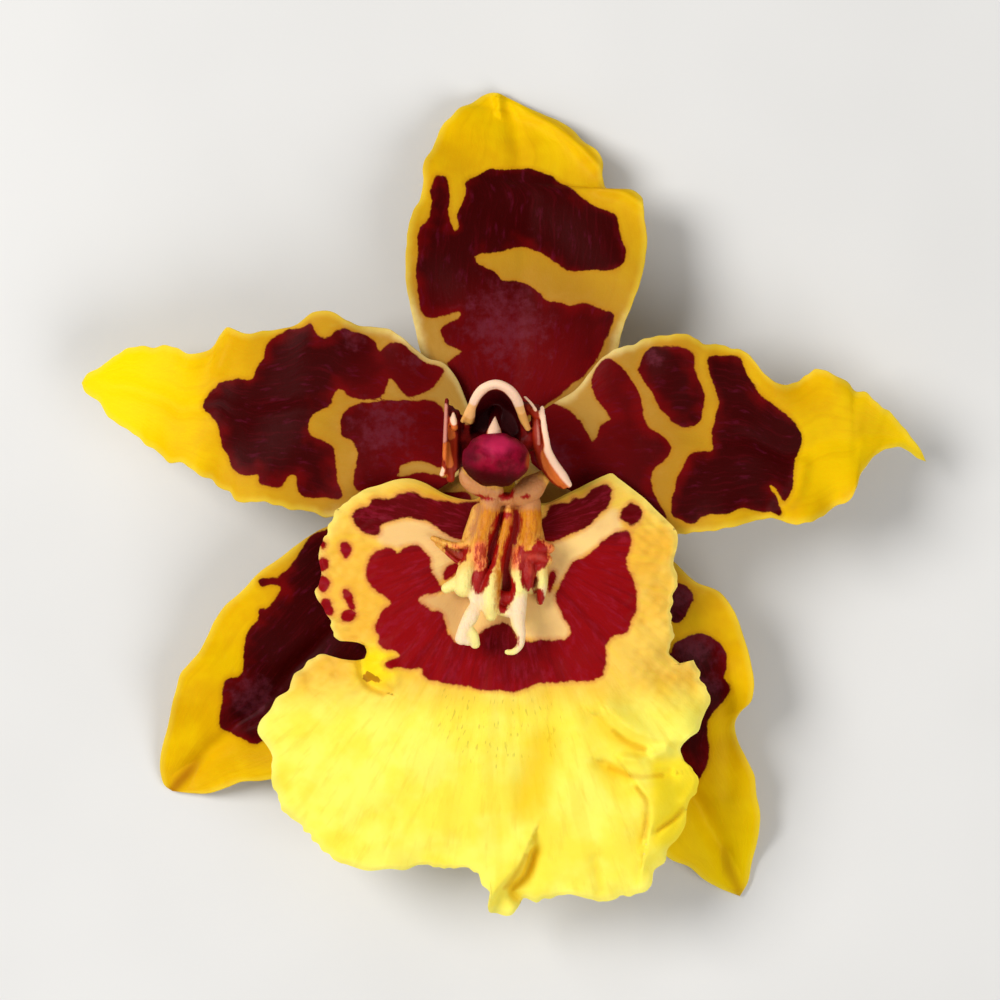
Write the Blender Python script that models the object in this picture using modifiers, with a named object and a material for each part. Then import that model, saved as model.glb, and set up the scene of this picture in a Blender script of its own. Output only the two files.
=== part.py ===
"""One bloom of an oncidium-type orchid, as picked, lying face up on a table.

The frame is the bloom's own: +Z is up and out of its face, +Y runs to the tip of the dorsal sepal, and the origin is on
the table under the middle of the bloom. The sizes below are millimetres, and MM turns them to metres.

The three sepals are the outer whorl. They hold the bloom up on their tips, with the stalk under it. The two petals and
the lip stand above them, round the foot of the column.
"""

import math

import bmesh
import bpy
import numpy as np

MM = 0.001

# Driving dimensions, in millimetres
SHEET = 0.6  # thickness of a sepal, a petal or the lip
GAP = 0.3  # clearance between two pieces that touch
HUB = (-0.5, 5.6)  # the column's foot, seen from the front
HUB_RADIUS = 1.8
OVARY_TOP = 8.2
SEPAL_LEVEL = 9.0  # height of the middle of each whorl at the hub
PETAL_LEVEL = 10.3
LIP_LEVEL = 12.4
TOUCH = SHEET / 2 + 0.01  # height of a sheet's middle where it rests on the table

# The margins of each flat organ, from its foot to its tip, as (x, y)
DORSAL_SEPAL_LEFT = [
    (-1.7, 7.8), (-2.9, 9.7), (-4.2, 11.3), (-5.4, 12.8), (-6.5, 13.6), (-7.4, 14.4), (-8.1, 16.1), (-8.8, 18.3),
    (-9.2, 20.6), (-9.2, 22.9), (-9.0, 25.2), (-8.5, 27.1), (-7.9, 28.1), (-7.6, 29.8), (-7.5, 31.7), (-6.9, 32.6),
    (-6.3, 34.0), (-5.7, 35.3), (-5.0, 35.9), (-4.3, 36.7), (-3.1, 37.2), (-2.1, 37.9), (-1.0, 38.2), (0.0, 37.3),
]
DORSAL_SEPAL_RIGHT = [
    (0.7, 7.8), (2.8, 9.2), (5.1, 9.9), (7.2, 11.9), (8.8, 13.6), (10.0, 14.6), (10.9, 16.4), (11.8, 18.4),
    (12.6, 20.6), (13.0, 22.6), (13.2, 24.5), (12.9, 26.6), (12.7, 28.3), (11.8, 29.0), (10.5, 29.1), (9.4, 29.2),
    (9.1, 30.2), (9.1, 31.7), (8.5, 32.8), (7.4, 33.5), (6.4, 34.6), (5.1, 35.5), (3.7, 36.0), (1.9, 36.7),
    (0.0, 37.3),
]
LATERAL_SEPAL_LEFT_OUTER = [
    (-2.5, 4.7), (-4.6, 3.0), (-7.9, 1.3), (-11.6, -0.2), (-14.8, -1.6), (-17.1, -2.5), (-19.0, -3.7), (-20.8, -5.1),
    (-22.8, -6.5), (-24.5, -8.3), (-25.9, -9.5), (-26.9, -10.9), (-27.6, -12.4), (-28.3, -13.7), (-29.2, -14.8),
    (-30.2, -16.0), (-30.5, -17.2), (-30.9, -18.6), (-31.2, -20.1), (-31.7, -22.0), (-32.1, -23.6), (-32.1, -25.2),
    (-31.7, -26.4), (-31.0, -26.9),
]
LATERAL_SEPAL_LEFT_INNER = [
    (-1.4, 3.4), (-1.8, 0.2), (-2.5, -3.9), (-4.0, -8.1), (-6.0, -12.3), (-8.8, -16.4), (-12.0, -20.3), (-15.3, -23.1),
    (-18.5, -24.9), (-21.6, -25.7), (-22.8, -25.9), (-24.5, -26.0), (-25.8, -26.5), (-27.6, -27.1), (-29.3, -27.1),
    (-31.0, -26.9),
]
LATERAL_SEPAL_RIGHT_OUTER = [
    (1.6, 4.7), (4.2, 2.8), (7.9, 0.2), (11.6, -2.5), (14.2, -4.2), (15.8, -5.6), (17.6, -7.3), (19.9, -8.3),
    (21.2, -10.0), (22.1, -12.3), (22.8, -14.8), (23.1, -17.2), (22.8, -18.5), (21.9, -19.4), (21.4, -20.3),
    (21.6, -22.0), (22.4, -23.7), (23.2, -25.4), (23.4, -27.2), (23.7, -28.6), (23.6, -31.0), (23.0, -33.6),
    (22.6, -35.5), (21.9, -36.7),
]
LATERAL_SEPAL_RIGHT_INNER = [
    (0.5, 3.4), (0.6, -0.2), (1.1, -4.9), (2.1, -9.9), (3.7, -15.0), (5.8, -20.1), (8.3, -24.7), (11.1, -28.9),
    (13.9, -31.8), (15.6, -33.3), (17.1, -33.9), (18.5, -35.1), (20.1, -36.0), (21.9, -36.7),
]
PETAL_LEFT_UPPER = [
    (-2.6, 6.8), (-3.6, 9.5), (-4.6, 11.7), (-5.7, 12.9), (-6.8, 13.2), (-7.9, 13.9), (-9.2, 15.0), (-10.6, 16.0),
    (-12.3, 16.2), (-13.9, 16.5), (-15.3, 17.3), (-16.6, 17.7), (-17.9, 17.5), (-19.1, 16.6), (-20.8, 16.0),
    (-22.5, 15.8), (-24.1, 15.6), (-25.1, 16.1), (-25.7, 16.2), (-26.3, 15.6), (-26.9, 14.6), (-27.8, 14.0),
    (-28.7, 13.8), (-29.9, 14.0), (-31.2, 14.6), (-32.4, 14.4), (-33.8, 14.5), (-35.1, 14.2), (-36.4, 13.4),
    (-37.6, 12.5), (-38.8, 11.9), (-39.3, 11.1),
]
PETAL_LEFT_LOWER = [
    (-2.6, 4.4), (-4.6, 2.3), (-6.9, 0.8), (-9.7, -0.2), (-12.5, -0.9), (-14.8, -1.2), (-16.4, -1.3), (-17.9, -0.9),
    (-19.9, -0.6), (-21.2, -0.2), (-22.5, 0.1), (-24.1, 0.0), (-24.9, 0.2), (-25.4, 0.9), (-26.5, 1.4), (-27.1, 2.1),
    (-28.2, 2.5), (-29.1, 3.2), (-30.0, 3.7), (-31.2, 3.7), (-31.9, 4.5), (-33.3, 5.4), (-34.7, 6.6), (-36.4, 7.6),
    (-37.1, 8.4), (-37.6, 9.3), (-38.4, 9.8), (-39.0, 10.3), (-39.3, 11.1),
]
PETAL_RIGHT_UPPER = [
    (1.6, 6.8), (3.2, 8.3), (4.7, 9.3), (6.5, 10.4), (7.9, 12.1), (8.8, 13.2), (10.1, 14.1), (12.0, 14.7),
    (13.2, 15.2), (15.1, 15.5), (16.6, 15.5), (17.7, 15.2), (18.3, 14.6), (19.5, 14.7), (20.8, 14.3), (22.1, 14.0),
    (23.0, 13.1), (24.3, 11.6), (25.4, 11.0), (26.5, 11.0), (27.4, 11.4), (28.2, 12.1), (29.1, 12.3), (30.8, 11.6),
    (31.8, 11.1), (32.4, 10.3), (33.0, 10.3), (34.7, 9.1), (36.4, 7.7), (37.6, 6.2), (38.6, 4.9), (39.1, 3.8),
]
PETAL_RIGHT_LOWER = [
    (1.6, 4.4), (3.7, 2.6), (6.0, 1.1), (8.8, -0.5), (11.6, -1.8), (13.9, -2.7), (16.2, -3.0), (18.0, -2.7),
    (19.9, -2.5), (21.3, -2.3), (22.7, -1.8), (24.1, -1.5), (25.3, -1.5), (26.1, -2.0), (27.5, -1.9), (28.8, -1.6),
    (29.7, -1.0), (30.8, -0.3), (31.9, 0.2), (32.5, 1.3), (32.9, 2.5), (33.6, 3.5), (34.3, 4.4), (35.4, 5.0),
    (36.4, 5.1), (37.4, 4.8), (38.3, 4.1), (39.1, 3.8),
]
# The margin of the lip, from its claw down its left side and back up its right
LIP_MARGIN = [
    (-0.5, 3.4), (-1.6, 3.4), (-1.7, 1.6), (-2.5, 0.4), (-4.0, 0.3), (-5.3, 0.7), (-6.3, 1.2), (-7.4, 1.8),
    (-8.7, 2.2), (-10.1, 2.1), (-11.6, 1.6), (-13.0, 1.2), (-14.0, 0.6), (-14.9, -0.3), (-15.8, -1.2),
    (-16.5, -2.2), (-16.8, -3.7), (-17.1, -5.3), (-17.1, -6.9), (-17.4, -8.5), (-16.7, -9.9), (-16.2, -11.0),
    (-15.8, -12.3), (-15.2, -12.8), (-14.2, -12.7), (-13.2, -12.9), (-12.9, -13.8), (-13.3, -14.6),
    (-14.4, -14.6), (-15.7, -14.3), (-16.9, -14.0), (-17.9, -14.5), (-18.6, -15.2), (-19.7, -16.0),
    (-20.0, -17.3), (-21.2, -18.1), (-21.7, -19.2), (-22.5, -20.2), (-22.8, -21.2), (-22.3, -22.4),
    (-21.6, -23.8), (-21.5, -25.2), (-21.6, -26.2), (-20.8, -27.6), (-19.9, -29.0), (-19.0, -30.3),
    (-17.6, -31.0), (-17.0, -31.9), (-16.1, -32.8), (-14.7, -33.5), (-12.9, -34.0), (-10.6, -34.0),
    (-9.2, -33.8), (-8.0, -33.4), (-6.5, -33.9), (-5.0, -33.8), (-3.7, -33.8), (-2.7, -34.2), (-2.0, -35.3),
    (-1.2, -36.2), (-1.6, -37.2), (-1.5, -37.9), (-0.5, -38.2), (0.7, -38.0), (1.3, -37.3), (1.7, -36.8),
    (2.6, -36.9), (3.7, -36.5), (5.1, -36.5), (6.8, -36.4), (7.9, -36.6), (8.9, -37.0), (10.6, -36.5),
    (12.5, -36.1), (13.6, -35.4), (13.9, -34.1), (14.7, -33.2), (14.9, -32.1), (16.1, -31.2), (16.6, -29.9),
    (16.7, -28.6), (17.1, -27.6), (17.9, -26.7), (17.9, -25.7), (17.3, -24.7), (16.6, -23.8), (16.4, -22.8),
    (16.6, -22.0), (17.8, -20.9), (18.6, -19.7), (18.9, -18.3), (18.4, -16.7), (17.9, -15.4), (17.0, -14.6),
    (16.4, -15.0), (15.8, -14.6), (15.2, -13.6), (15.6, -12.3), (15.4, -10.9), (15.4, -9.0), (15.9, -7.2),
    (15.7, -5.5), (15.9, -4.0), (15.7, -2.6), (14.9, -1.6), (13.9, -0.7), (12.7, 0.5), (11.6, 1.4), (10.5, 2.2),
    (9.8, 2.7), (9.2, 2.5), (7.9, 1.9), (6.5, 1.2), (5.1, 0.5), (3.8, 0.1), (2.7, 0.1), (1.9, 0.4), (1.0, 1.6),
    (0.6, 3.4), (-0.5, 3.4),
]
LIP_HEART = (-0.3, -17.0)
LIP_EVENING = 4.5  # how far along the margin its teeth and notches are evened out further in


def curve_through(points, share):
    """Points at these shares of the way along a smooth curve through the given points: a cubic Hermite through each
    pair, with the slope at a point taken from its two neighbours."""
    points = np.asarray(points, float)
    knots = np.concatenate([[0.0], np.cumsum(np.linalg.norm(np.diff(points, axis=0), axis=1))])
    knots /= knots[-1]
    slopes = np.gradient(points, knots, axis=0)
    i = np.clip(np.searchsorted(knots, share, side="right") - 1, 0, len(points) - 2)
    step = (knots[i + 1] - knots[i])[:, None]
    t = (share - knots[i])[:, None] / step
    return (
        (1 + 2 * t) * (1 - t) ** 2 * points[i]
        + t * (1 - t) ** 2 * step * slopes[i]
        + t**2 * (3 - 2 * t) * points[i + 1]
        + t**2 * (t - 1) * step * slopes[i + 1]
    )


def value_through(pairs, share):
    """A number that varies smoothly along a piece, from (share, value) pairs."""
    pairs = np.asarray(pairs, float)
    slopes = np.gradient(pairs[:, 1], pairs[:, 0])
    i = np.clip(np.searchsorted(pairs[:, 0], share, side="right") - 1, 0, len(pairs) - 2)
    step = pairs[i + 1, 0] - pairs[i, 0]
    t = (share - pairs[i, 0]) / step
    return (
        (1 + 2 * t) * (1 - t) ** 2 * pairs[i, 1]
        + t * (1 - t) ** 2 * step * slopes[i]
        + t**2 * (3 - 2 * t) * pairs[i + 1, 1]
        + t**2 * (t - 1) * step * slopes[i + 1]
    )


def smooth_step(value, low, high):
    t = np.clip((value - low) / (high - low), 0.0, 1.0)
    return t * t * (3 - 2 * t)


def tepal_middle(near, far, heights, cup, along, across):
    """The middle surface of a sepal or petal. along runs 0 to 1 from foot to tip, across -1 to 1 from one margin to the
    other. The height follows the midrib's, plus a trough whose sides rise by cup."""
    share = 1 - (1 - along) ** 1.3
    a, b = curve_through(near, share), curve_through(far, share)
    flat = a * (1 - across[:, None]) / 2 + b * (1 + across[:, None]) / 2
    height = value_through(heights, share) + value_through(cup, share) * np.abs(across) ** 1.7
    return np.column_stack([flat, height])


def lip_height(x, y, edge):
    """Height of the lip's middle surface: level under the crest, drooping to its margins, and rippled towards them.
    edge is 0 at the lip's heart and 1 on its margin."""
    down = 0.0055 * np.maximum(-y - 13.0, 0.0) ** 2
    sideways = (0.004 + 0.008 * smooth_step(-y, 2.0, 14.0)) * np.maximum(np.abs(x) - 6.0, 0.0) ** 2
    turn = np.arctan2(y + 12.0, x)
    ripple = 0.5 * np.sin(11 * turn + 0.7) * smooth_step(edge, 0.6, 1.0)
    return LIP_LEVEL - 0.1 - down - sideways + ripple * smooth_step(-y, 4.0, 16.0)


def lip_middle(along, across):
    """The middle surface of the lip. along runs round its margin and across, -1 to 1, from its heart out to the margin.
    The rings near the margin follow its notches, and those further in follow the margin with the notches evened out:
    each evened point is the margin's mean, weighted by a bell curve of distance along it."""
    margin = curve_through(LIP_MARGIN, along)
    round_it = np.linspace(0.0, 1.0, 400, endpoint=False)
    length = np.linalg.norm(np.diff(np.array(LIP_MARGIN), axis=0), axis=1).sum()
    apart = np.abs(along[:, None] - round_it)
    apart = np.minimum(apart, 1 - apart) * length
    weight = np.exp(-((apart / LIP_EVENING) ** 2))
    evened = weight @ curve_through(LIP_MARGIN, round_it) / weight.sum(axis=1)[:, None]
    heart = np.array(LIP_HEART)
    out = (across + 1) / 2
    inner = heart + 0.85 * (evened - heart) * np.minimum(out / 0.75, 1.0)[:, None]
    flat = inner + (margin - inner) * np.maximum(out / 0.25 - 3.0, 0.0)[:, None]
    return np.column_stack([flat, lip_height(flat[:, 0], flat[:, 1], out)])


def material(name, colour, roughness):
    made = bpy.data.materials.new(name)
    made.use_nodes = True
    shader = made.node_tree.nodes["Principled BSDF"]
    shader.inputs["Base Color"].default_value = (*colour, 1.0)
    shader.inputs["Roughness"].default_value = roughness
    made.diffuse_color = (*colour, 1.0)
    return made


def place(name, mesh, finish, collection, helper=False):
    """An object for the mesh, with its material, in the collection. A helper is left out of the model."""
    made = bpy.data.objects.new(name, mesh)
    collection.objects.link(made)
    made.data.materials.append(finish)
    if helper:
        made.hide_render = True
        made.display_type = "WIRE"
    return made


def shaped_grid(name, steps_along, steps_across, shape):
    """A mesh from a grid whose corners run over along 0..1 and across -1..1, moved to the millimetre points that shape
    gives. Edges that come together, such as a pole or a seam, are welded."""
    grid = bmesh.new()
    bmesh.ops.create_grid(grid, x_segments=steps_along, y_segments=steps_across, size=1.0)
    corners = np.array([v.co for v in grid.verts])
    points = shape((corners[:, 0] + 1) / 2, corners[:, 1]) * MM
    for vertex, point in zip(grid.verts, points):
        vertex.co = point
    bmesh.ops.remove_doubles(grid, verts=grid.verts, dist=0.005 * MM)
    bmesh.ops.recalc_face_normals(grid, faces=grid.faces)
    mesh = bpy.data.meshes.new(name)
    grid.to_mesh(mesh)
    grid.free()
    mesh.shade_smooth()
    return mesh


def sheet(name, steps_along, steps_across, shape, finish, collection):
    """A thin organ: the middle surface with its thickness shared between its two faces."""
    made = place(name, shaped_grid(name, steps_along, steps_across, shape), finish, collection)
    wall = made.modifiers.new("thickness", "SOLIDIFY")
    wall.thickness = SHEET * MM
    wall.offset = 0.0
    return made


def tepal(name, near, far, heights, cup, finish, collection):
    return sheet(
        name, 20, 8, lambda along, across: tepal_middle(near, far, heights, cup, along, across), finish, collection
    )


def tube(name, path, radii, collection, sides=2, domed=True):
    """A mesh round a smooth curve through the path, with a radius for each of its points and closed ends. A domed end
    narrows in its last step."""
    line = bpy.data.curves.new(name, "CURVE")
    line.dimensions = "3D"
    line.bevel_depth = 1.0 * MM
    line.bevel_resolution = sides
    line.use_fill_caps = True
    steps = 4 * len(path)
    course = curve_through(np.column_stack([path, radii]), np.linspace(0.0, 1.0, steps))
    if domed:
        course[-1, 3] *= 0.55
    spline = line.splines.new("POLY")
    spline.points.add(steps - 1)
    for knot, (x, y, z, radius) in zip(spline.points, course):
        knot.co = (x * MM, y * MM, z * MM, 1.0)
        knot.radius = radius
    made = bpy.data.objects.new(name, line)
    collection.objects.link(made)
    bpy.context.view_layer.update()
    solid = bpy.data.meshes.new_from_object(made.evaluated_get(bpy.context.evaluated_depsgraph_get()))
    bpy.data.objects.remove(made)
    welded = bmesh.new()
    welded.from_mesh(solid)
    bmesh.ops.remove_doubles(welded, verts=welded.verts, dist=0.001 * MM)
    bmesh.ops.recalc_face_normals(welded, faces=welded.faces)
    welded.to_mesh(solid)
    welded.free()
    return solid


def joined(name, meshes):
    """One mesh with every given mesh in it."""
    whole = bmesh.new()
    for mesh in meshes:
        whole.from_mesh(mesh)
    mesh = bpy.data.meshes.new(name)
    whole.to_mesh(mesh)
    whole.free()
    return mesh


def fused(made, grain, keep):
    """Melts the overlapping closed shapes in an object into one skin, then thins it to a share of its faces."""
    melt = made.modifiers.new("melt", "REMESH")
    melt.mode = "VOXEL"
    melt.voxel_size = grain * MM
    thin = made.modifiers.new("thin", "DECIMATE")
    thin.ratio = keep


def add_sepals(finish, collection):
    tepal(
        "dorsal_sepal", DORSAL_SEPAL_LEFT, DORSAL_SEPAL_RIGHT,
        [(0, SEPAL_LEVEL), (0.15, 9.0), (0.4, 7.6), (0.65, 4.4), (0.86, 1.05), (0.94, TOUCH - 0.05), (1, 0.5)],
        [(0, 0), (0.2, 0.1), (0.5, 0.9), (0.8, 1.1), (1, 0)], finish, collection,
    )
    tepal(
        "lateral_sepal_left", LATERAL_SEPAL_LEFT_OUTER, LATERAL_SEPAL_LEFT_INNER,
        [(0, SEPAL_LEVEL), (0.12, 9.0), (0.35, 7.9), (0.6, 5.4), (0.82, 2.2), (0.96, TOUCH), (1, 0.5)],
        [(0, 0), (0.2, 0.0), (0.5, 0.5), (0.8, 1.4), (1, 0)], finish, collection,
    )
    tepal(
        "lateral_sepal_right", LATERAL_SEPAL_RIGHT_OUTER, LATERAL_SEPAL_RIGHT_INNER,
        [(0, SEPAL_LEVEL), (0.12, 9.0), (0.35, 7.9), (0.6, 5.4), (0.82, 2.2), (0.96, TOUCH), (1, 0.5)],
        [(0, 0), (0.2, 0.0), (0.5, 0.5), (0.8, 1.4), (1, 0)], finish, collection,
    )


def add_petals(finish, collection):
    tepal(
        "petal_left", PETAL_LEFT_UPPER, PETAL_LEFT_LOWER,
        [(0, PETAL_LEVEL), (0.12, 10.3), (0.35, 10.6), (0.6, 9.6), (0.8, 7.6), (1, 5.2)],
        [(0, 0), (0.2, 0.0), (0.5, 0.4), (0.8, 0.6), (1, 0)], finish, collection,
    )
    tepal(
        "petal_right", PETAL_RIGHT_UPPER, PETAL_RIGHT_LOWER,
        [(0, PETAL_LEVEL), (0.12, 10.3), (0.35, 10.6), (0.6, 9.8), (0.8, 8.0), (1, 4.6)],
        [(0, 0), (0.2, 0.0), (0.5, 0.4), (0.8, 0.6), (1, 0)], finish, collection,
    )


def add_lip(finish, collection):
    sheet("lip", 84, 8, lip_middle, finish, collection)


# The crest's ridges and fingers: the path of each, as (x, y, z), and its radius along it
CREST_FLOOR = LIP_LEVEL - 0.1 + SHEET / 2 + GAP
CREST_PARTS = {
    "collar_left": ([(-3.3, 1.4, 15.0), (-1.9, 0.9, 14.9), (-0.2, 0.1, 14.4)], [0.7, 1.0, 1.2]),
    "collar_right": ([(3.0, 1.4, 15.0), (1.9, 1.0, 14.9), (0.2, 0.1, 14.4)], [1.1, 1.2, 1.2]),
    "ridge_left": ([(-1.4, 0.2, 14.0), (-2.2, -2.6, 13.9), (-2.9, -5.3, 14.2), (-3.3, -7.6, 14.6)], [1.2, 1.2, 1.3, 1.2]),
    "ridge_right": ([(1.6, 0.2, 14.0), (2.4, -2.2, 13.9), (2.2, -4.9, 14.2)], [1.3, 1.4, 1.4]),
    "ridge_middle": (
        [(0.1, -0.4, 13.9), (-0.4, -3.8, 13.9), (-1.0, -7.0, 14.7), (-1.3, -10.2, 15.9)], [0.9, 0.9, 1.1, 0.8]
    ),
    "bridge": ([(-2.4, -4.6, 13.6), (0.0, -5.4, 13.6), (2.2, -4.6, 13.6)], [1.0, 1.0, 1.0]),
    "tooth_left": ([(-3.0, -6.2, 14.2), (-4.5, -7.1, 14.4), (-5.7, -7.8, 14.4)], [1.1, 0.9, 0.5]),
    "finger_left": (
        [(-3.1, -7.6, 14.6), (-2.7, -9.5, 15.5), (-3.2, -11.1, 16.2), (-3.9, -12.5, 16.4)], [0.9, 0.7, 0.7, 0.9]
    ),
    "finger_right": (
        [(0.8, -5.8, 14.0), (0.9, -8.1, 14.9), (1.1, -9.7, 15.6), (1.5, -11.4, 16.2), (1.4, -12.7, 16.5), (0.3, -13.6, 16.6)],
        [0.8, 0.9, 0.9, 0.7, 0.5, 0.4],
    ),
    "bump_right": ([(2.2, -4.2, 14.6), (3.3, -4.0, 15.0), (4.3, -4.1, 14.9)], [1.2, 1.1, 0.6]),
    "point_right": ([(2.0, -5.0, 14.6), (2.0, -7.6, 14.9)], [0.9, 0.6]),
    "spur_right": ([(3.1, -4.6, 14.4), (3.2, -6.4, 14.2), (3.3, -8.8, 13.9)], [0.9, 0.7, 0.5]),
    "flange_left": ([(-2.8, -5.0, 13.9), (-4.4, -4.8, 14.0), (-6.1, -3.7, 13.8)], [0.7, 0.6, 0.4]),
}


def add_crest(finish, collection, cutters):
    """The fleshy crest on the lip, cut level a little above it."""
    parts = [tube(name, path, radii, collection) for name, (path, radii) in CREST_PARTS.items()]
    crest = place("lip_callus", joined("lip_callus", parts), finish, collection)
    fused(crest, 0.3, 0.22)
    below = bmesh.new()
    bmesh.ops.create_cube(below, size=30.0 * MM)
    bmesh.ops.translate(below, verts=below.verts, vec=(0.0, -6.0 * MM, (CREST_FLOOR - 15.0) * MM))
    mesh = bpy.data.meshes.new("crest_floor")
    below.to_mesh(mesh)
    below.free()
    cutter = place("crest_floor", mesh, finish, cutters, helper=True)
    cut = crest.modifiers.new("level foot", "BOOLEAN")
    cut.object = cutter
    cut.operation = "DIFFERENCE"


COLUMN_FOOT = OVARY_TOP + GAP
HOOD_BASE = 15.5  # height where the hood's wall starts to rise
HOOD_TOP = 20.5
HOOD_WALL = 1.1
BED = 14.8  # floor of the hollow in front of the hood
# Outline of the column at its heights: (height, half width, half depth, y of its middle)
COLUMN_SECTIONS = [
    (COLUMN_FOOT, 1.8, 1.8, 5.6), (11.6, 1.8, 1.8, 5.6), (13.4, 2.4, 2.5, 5.9), (HOOD_BASE, 3.0, 3.6, 6.4),
    (HOOD_TOP, 3.3, 4.2, 7.1),
]


def column_section(height):
    """(half width, half depth, y of the middle) at each height."""
    table = np.array(COLUMN_SECTIONS)
    return tuple(np.interp(height, table[:, 0], table[:, k]) for k in (1, 2, 3))


def column_wall(along, across):
    """The column as one skin, from the middle of its foot up the outside, over the hood's rim and down the inside to the
    middle of its bed. across is the turn round it. The rim is high behind and low in front, like a scoop."""
    turn = (across + 1) * math.pi
    rise = smooth_step(np.sin(turn), -0.15, 0.75)
    rim = HOOD_BASE + 0.2 + (HOOD_TOP - HOOD_BASE - 0.2) * rise
    stage = along * 8
    outer = np.interp(stage, [0, 1, 2, 3, 4, 5, 8], [COLUMN_FOOT, COLUMN_FOOT, 11.6, 13.4, HOOD_BASE, 99, 99])
    height = np.where(stage <= 4, outer, 0.0)
    height = np.where((stage > 4) & (stage <= 5.5), HOOD_BASE + (rim - HOOD_BASE) * np.clip(stage - 4, 0, 1), height)
    height = np.where(stage > 5.5, rim + (BED - rim) * np.clip((stage - 5.5) / 1.5, 0, 1), height)
    width, depth, middle = column_section(height)
    inset = HOOD_WALL * np.clip((stage - 5) / 0.5, 0, 1)
    spread = np.clip(stage, 0, 1) * np.clip(8 - stage, 0, 1)
    return np.column_stack([
        HUB[0] - 0.1 * (height > 12) + (width - inset) * spread * np.cos(turn),
        middle + (depth - inset) * spread * np.sin(turn),
        height,
    ])


WING_RIGHT = ([(3.0, 8.4, 16.2), (3.5, 6.2, 16.6), (4.5, 3.7, 16.4), (5.6, 2.0, 15.9)], [0.5, 0.75, 0.85, 0.7])
WING_LEFT = ([(-3.9, 8.2, 16.2), (-4.6, 6.0, 16.6), (-5.0, 4.0, 16.4), (-5.4, 2.6, 15.9)], [0.5, 0.6, 0.6, 0.6])
NECK = ([(-0.9, 5.3, 13.0), (-0.9, 5.1, 15.0), (-0.9, 5.0, 16.9)], [1.8, 1.7, 1.7])
WING_ROOT_RIGHT = ([(1.8, 5.4, 14.6), (3.6, 5.6, 16.0)], [0.9, 0.9])
WING_ROOT_LEFT = ([(-2.8, 5.4, 14.6), (-4.6, 5.6, 16.0)], [0.9, 0.9])


def add_column(finish, collection):
    parts = [shaped_grid("column_skin", 32, 24, column_wall)]
    for name, (path, radii) in (
        ("wing_right", WING_RIGHT), ("wing_left", WING_LEFT),
        ("wing_root_right", WING_ROOT_RIGHT), ("wing_root_left", WING_ROOT_LEFT), ("neck", NECK),
    ):
        parts.append(tube(name, path, radii, collection, domed=name != "neck"))
    column = place("column", joined("column", parts), finish, collection)
    fused(column, 0.3, 0.3)


CAP_MIDDLE = (-0.9, 3.9, 18.5)
CAP_HALF = (3.05, 2.5, 2.4)
CAP_WALL = 0.5
CAP_OPENING = -0.55  # the cap is left open below this share of its half height


def add_anther_cap(finish, collection):
    """A hollow helmet, open towards the column."""
    ball = bmesh.new()
    bmesh.ops.create_uvsphere(ball, u_segments=20, v_segments=14, radius=1.0)
    bmesh.ops.bisect_plane(
        ball, geom=ball.verts[:] + ball.edges[:] + ball.faces[:], plane_co=(0, 0, CAP_OPENING), plane_no=(0, 0, -1),
        clear_outer=True,
    )
    bmesh.ops.scale(ball, vec=[h * MM for h in CAP_HALF], verts=ball.verts)
    bmesh.ops.translate(ball, vec=[c * MM for c in CAP_MIDDLE], verts=ball.verts)
    mesh = bpy.data.meshes.new("anther_cap")
    ball.to_mesh(mesh)
    ball.free()
    mesh.shade_smooth()
    cap = place("anther_cap", mesh, finish, collection)
    wall = cap.modifiers.new("thickness", "SOLIDIFY")
    wall.thickness = CAP_WALL * MM
    wall.offset = -1.0


POLLINIUM_HALF = (0.55, 0.75, 0.6)
POLLINIUM_SPREAD = 0.72  # from the middle of the cap to the middle of a pollinium
POLLINIUM_HEIGHT = 19.4


def add_pollinarium(wax, strap, collection):
    """Two waxy pollen masses under the cap, on the strap that carries them."""
    for name, side in (("pollinium_left", -1), ("pollinium_right", 1)):
        ball = bmesh.new()
        bmesh.ops.create_uvsphere(ball, u_segments=10, v_segments=7, radius=1.0)
        bmesh.ops.scale(ball, vec=[h * MM for h in POLLINIUM_HALF], verts=ball.verts)
        middle = (CAP_MIDDLE[0] + side * POLLINIUM_SPREAD, CAP_MIDDLE[1] + 0.1, POLLINIUM_HEIGHT)
        bmesh.ops.translate(ball, vec=[c * MM for c in middle], verts=ball.verts)
        mesh = bpy.data.meshes.new(name)
        ball.to_mesh(mesh)
        ball.free()
        mesh.shade_smooth()
        place(name, mesh, wax, collection)
    x, y = CAP_MIDDLE[0], CAP_MIDDLE[1]
    path = [(x, y, 17.2), (x, y, 17.6), (x, y, 18.0), (x, y, POLLINIUM_HEIGHT - POLLINIUM_HALF[2] - GAP)]
    mesh = tube("pollinarium_stipe", path, [0.5, 0.3, 0.35, 0.5], collection, domed=False)
    place("pollinarium_stipe", mesh, strap, collection)


STALK_PATH = [
    (HUB[0], HUB[1], OVARY_TOP), (HUB[0], HUB[1], 7.3), (-0.5, 4.9, 5.6), (-0.4, 2.9, 3.9), (-0.2, -0.8, 2.45),
    (0.2, -6.0, 1.76), (0.8, -12.0, 1.46), (1.2, -19.0, 1.23), (0.9, -26.0, 1.12),
]
STALK_RADII = [1.55, 1.6, 1.65, 1.7, 1.7, 1.62, 1.42, 1.2, 1.1]


def add_stalk(finish, collection):
    """The ovary behind the bloom and the stalk that it narrows into, bent over and lying on the table."""
    mesh = tube("ovary_pedicel", STALK_PATH, STALK_RADII, collection, sides=3, domed=False)
    place("ovary_pedicel", mesh, finish, collection)


def clear_scene():
    for item in list(bpy.data.objects):
        bpy.data.objects.remove(item)


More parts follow.
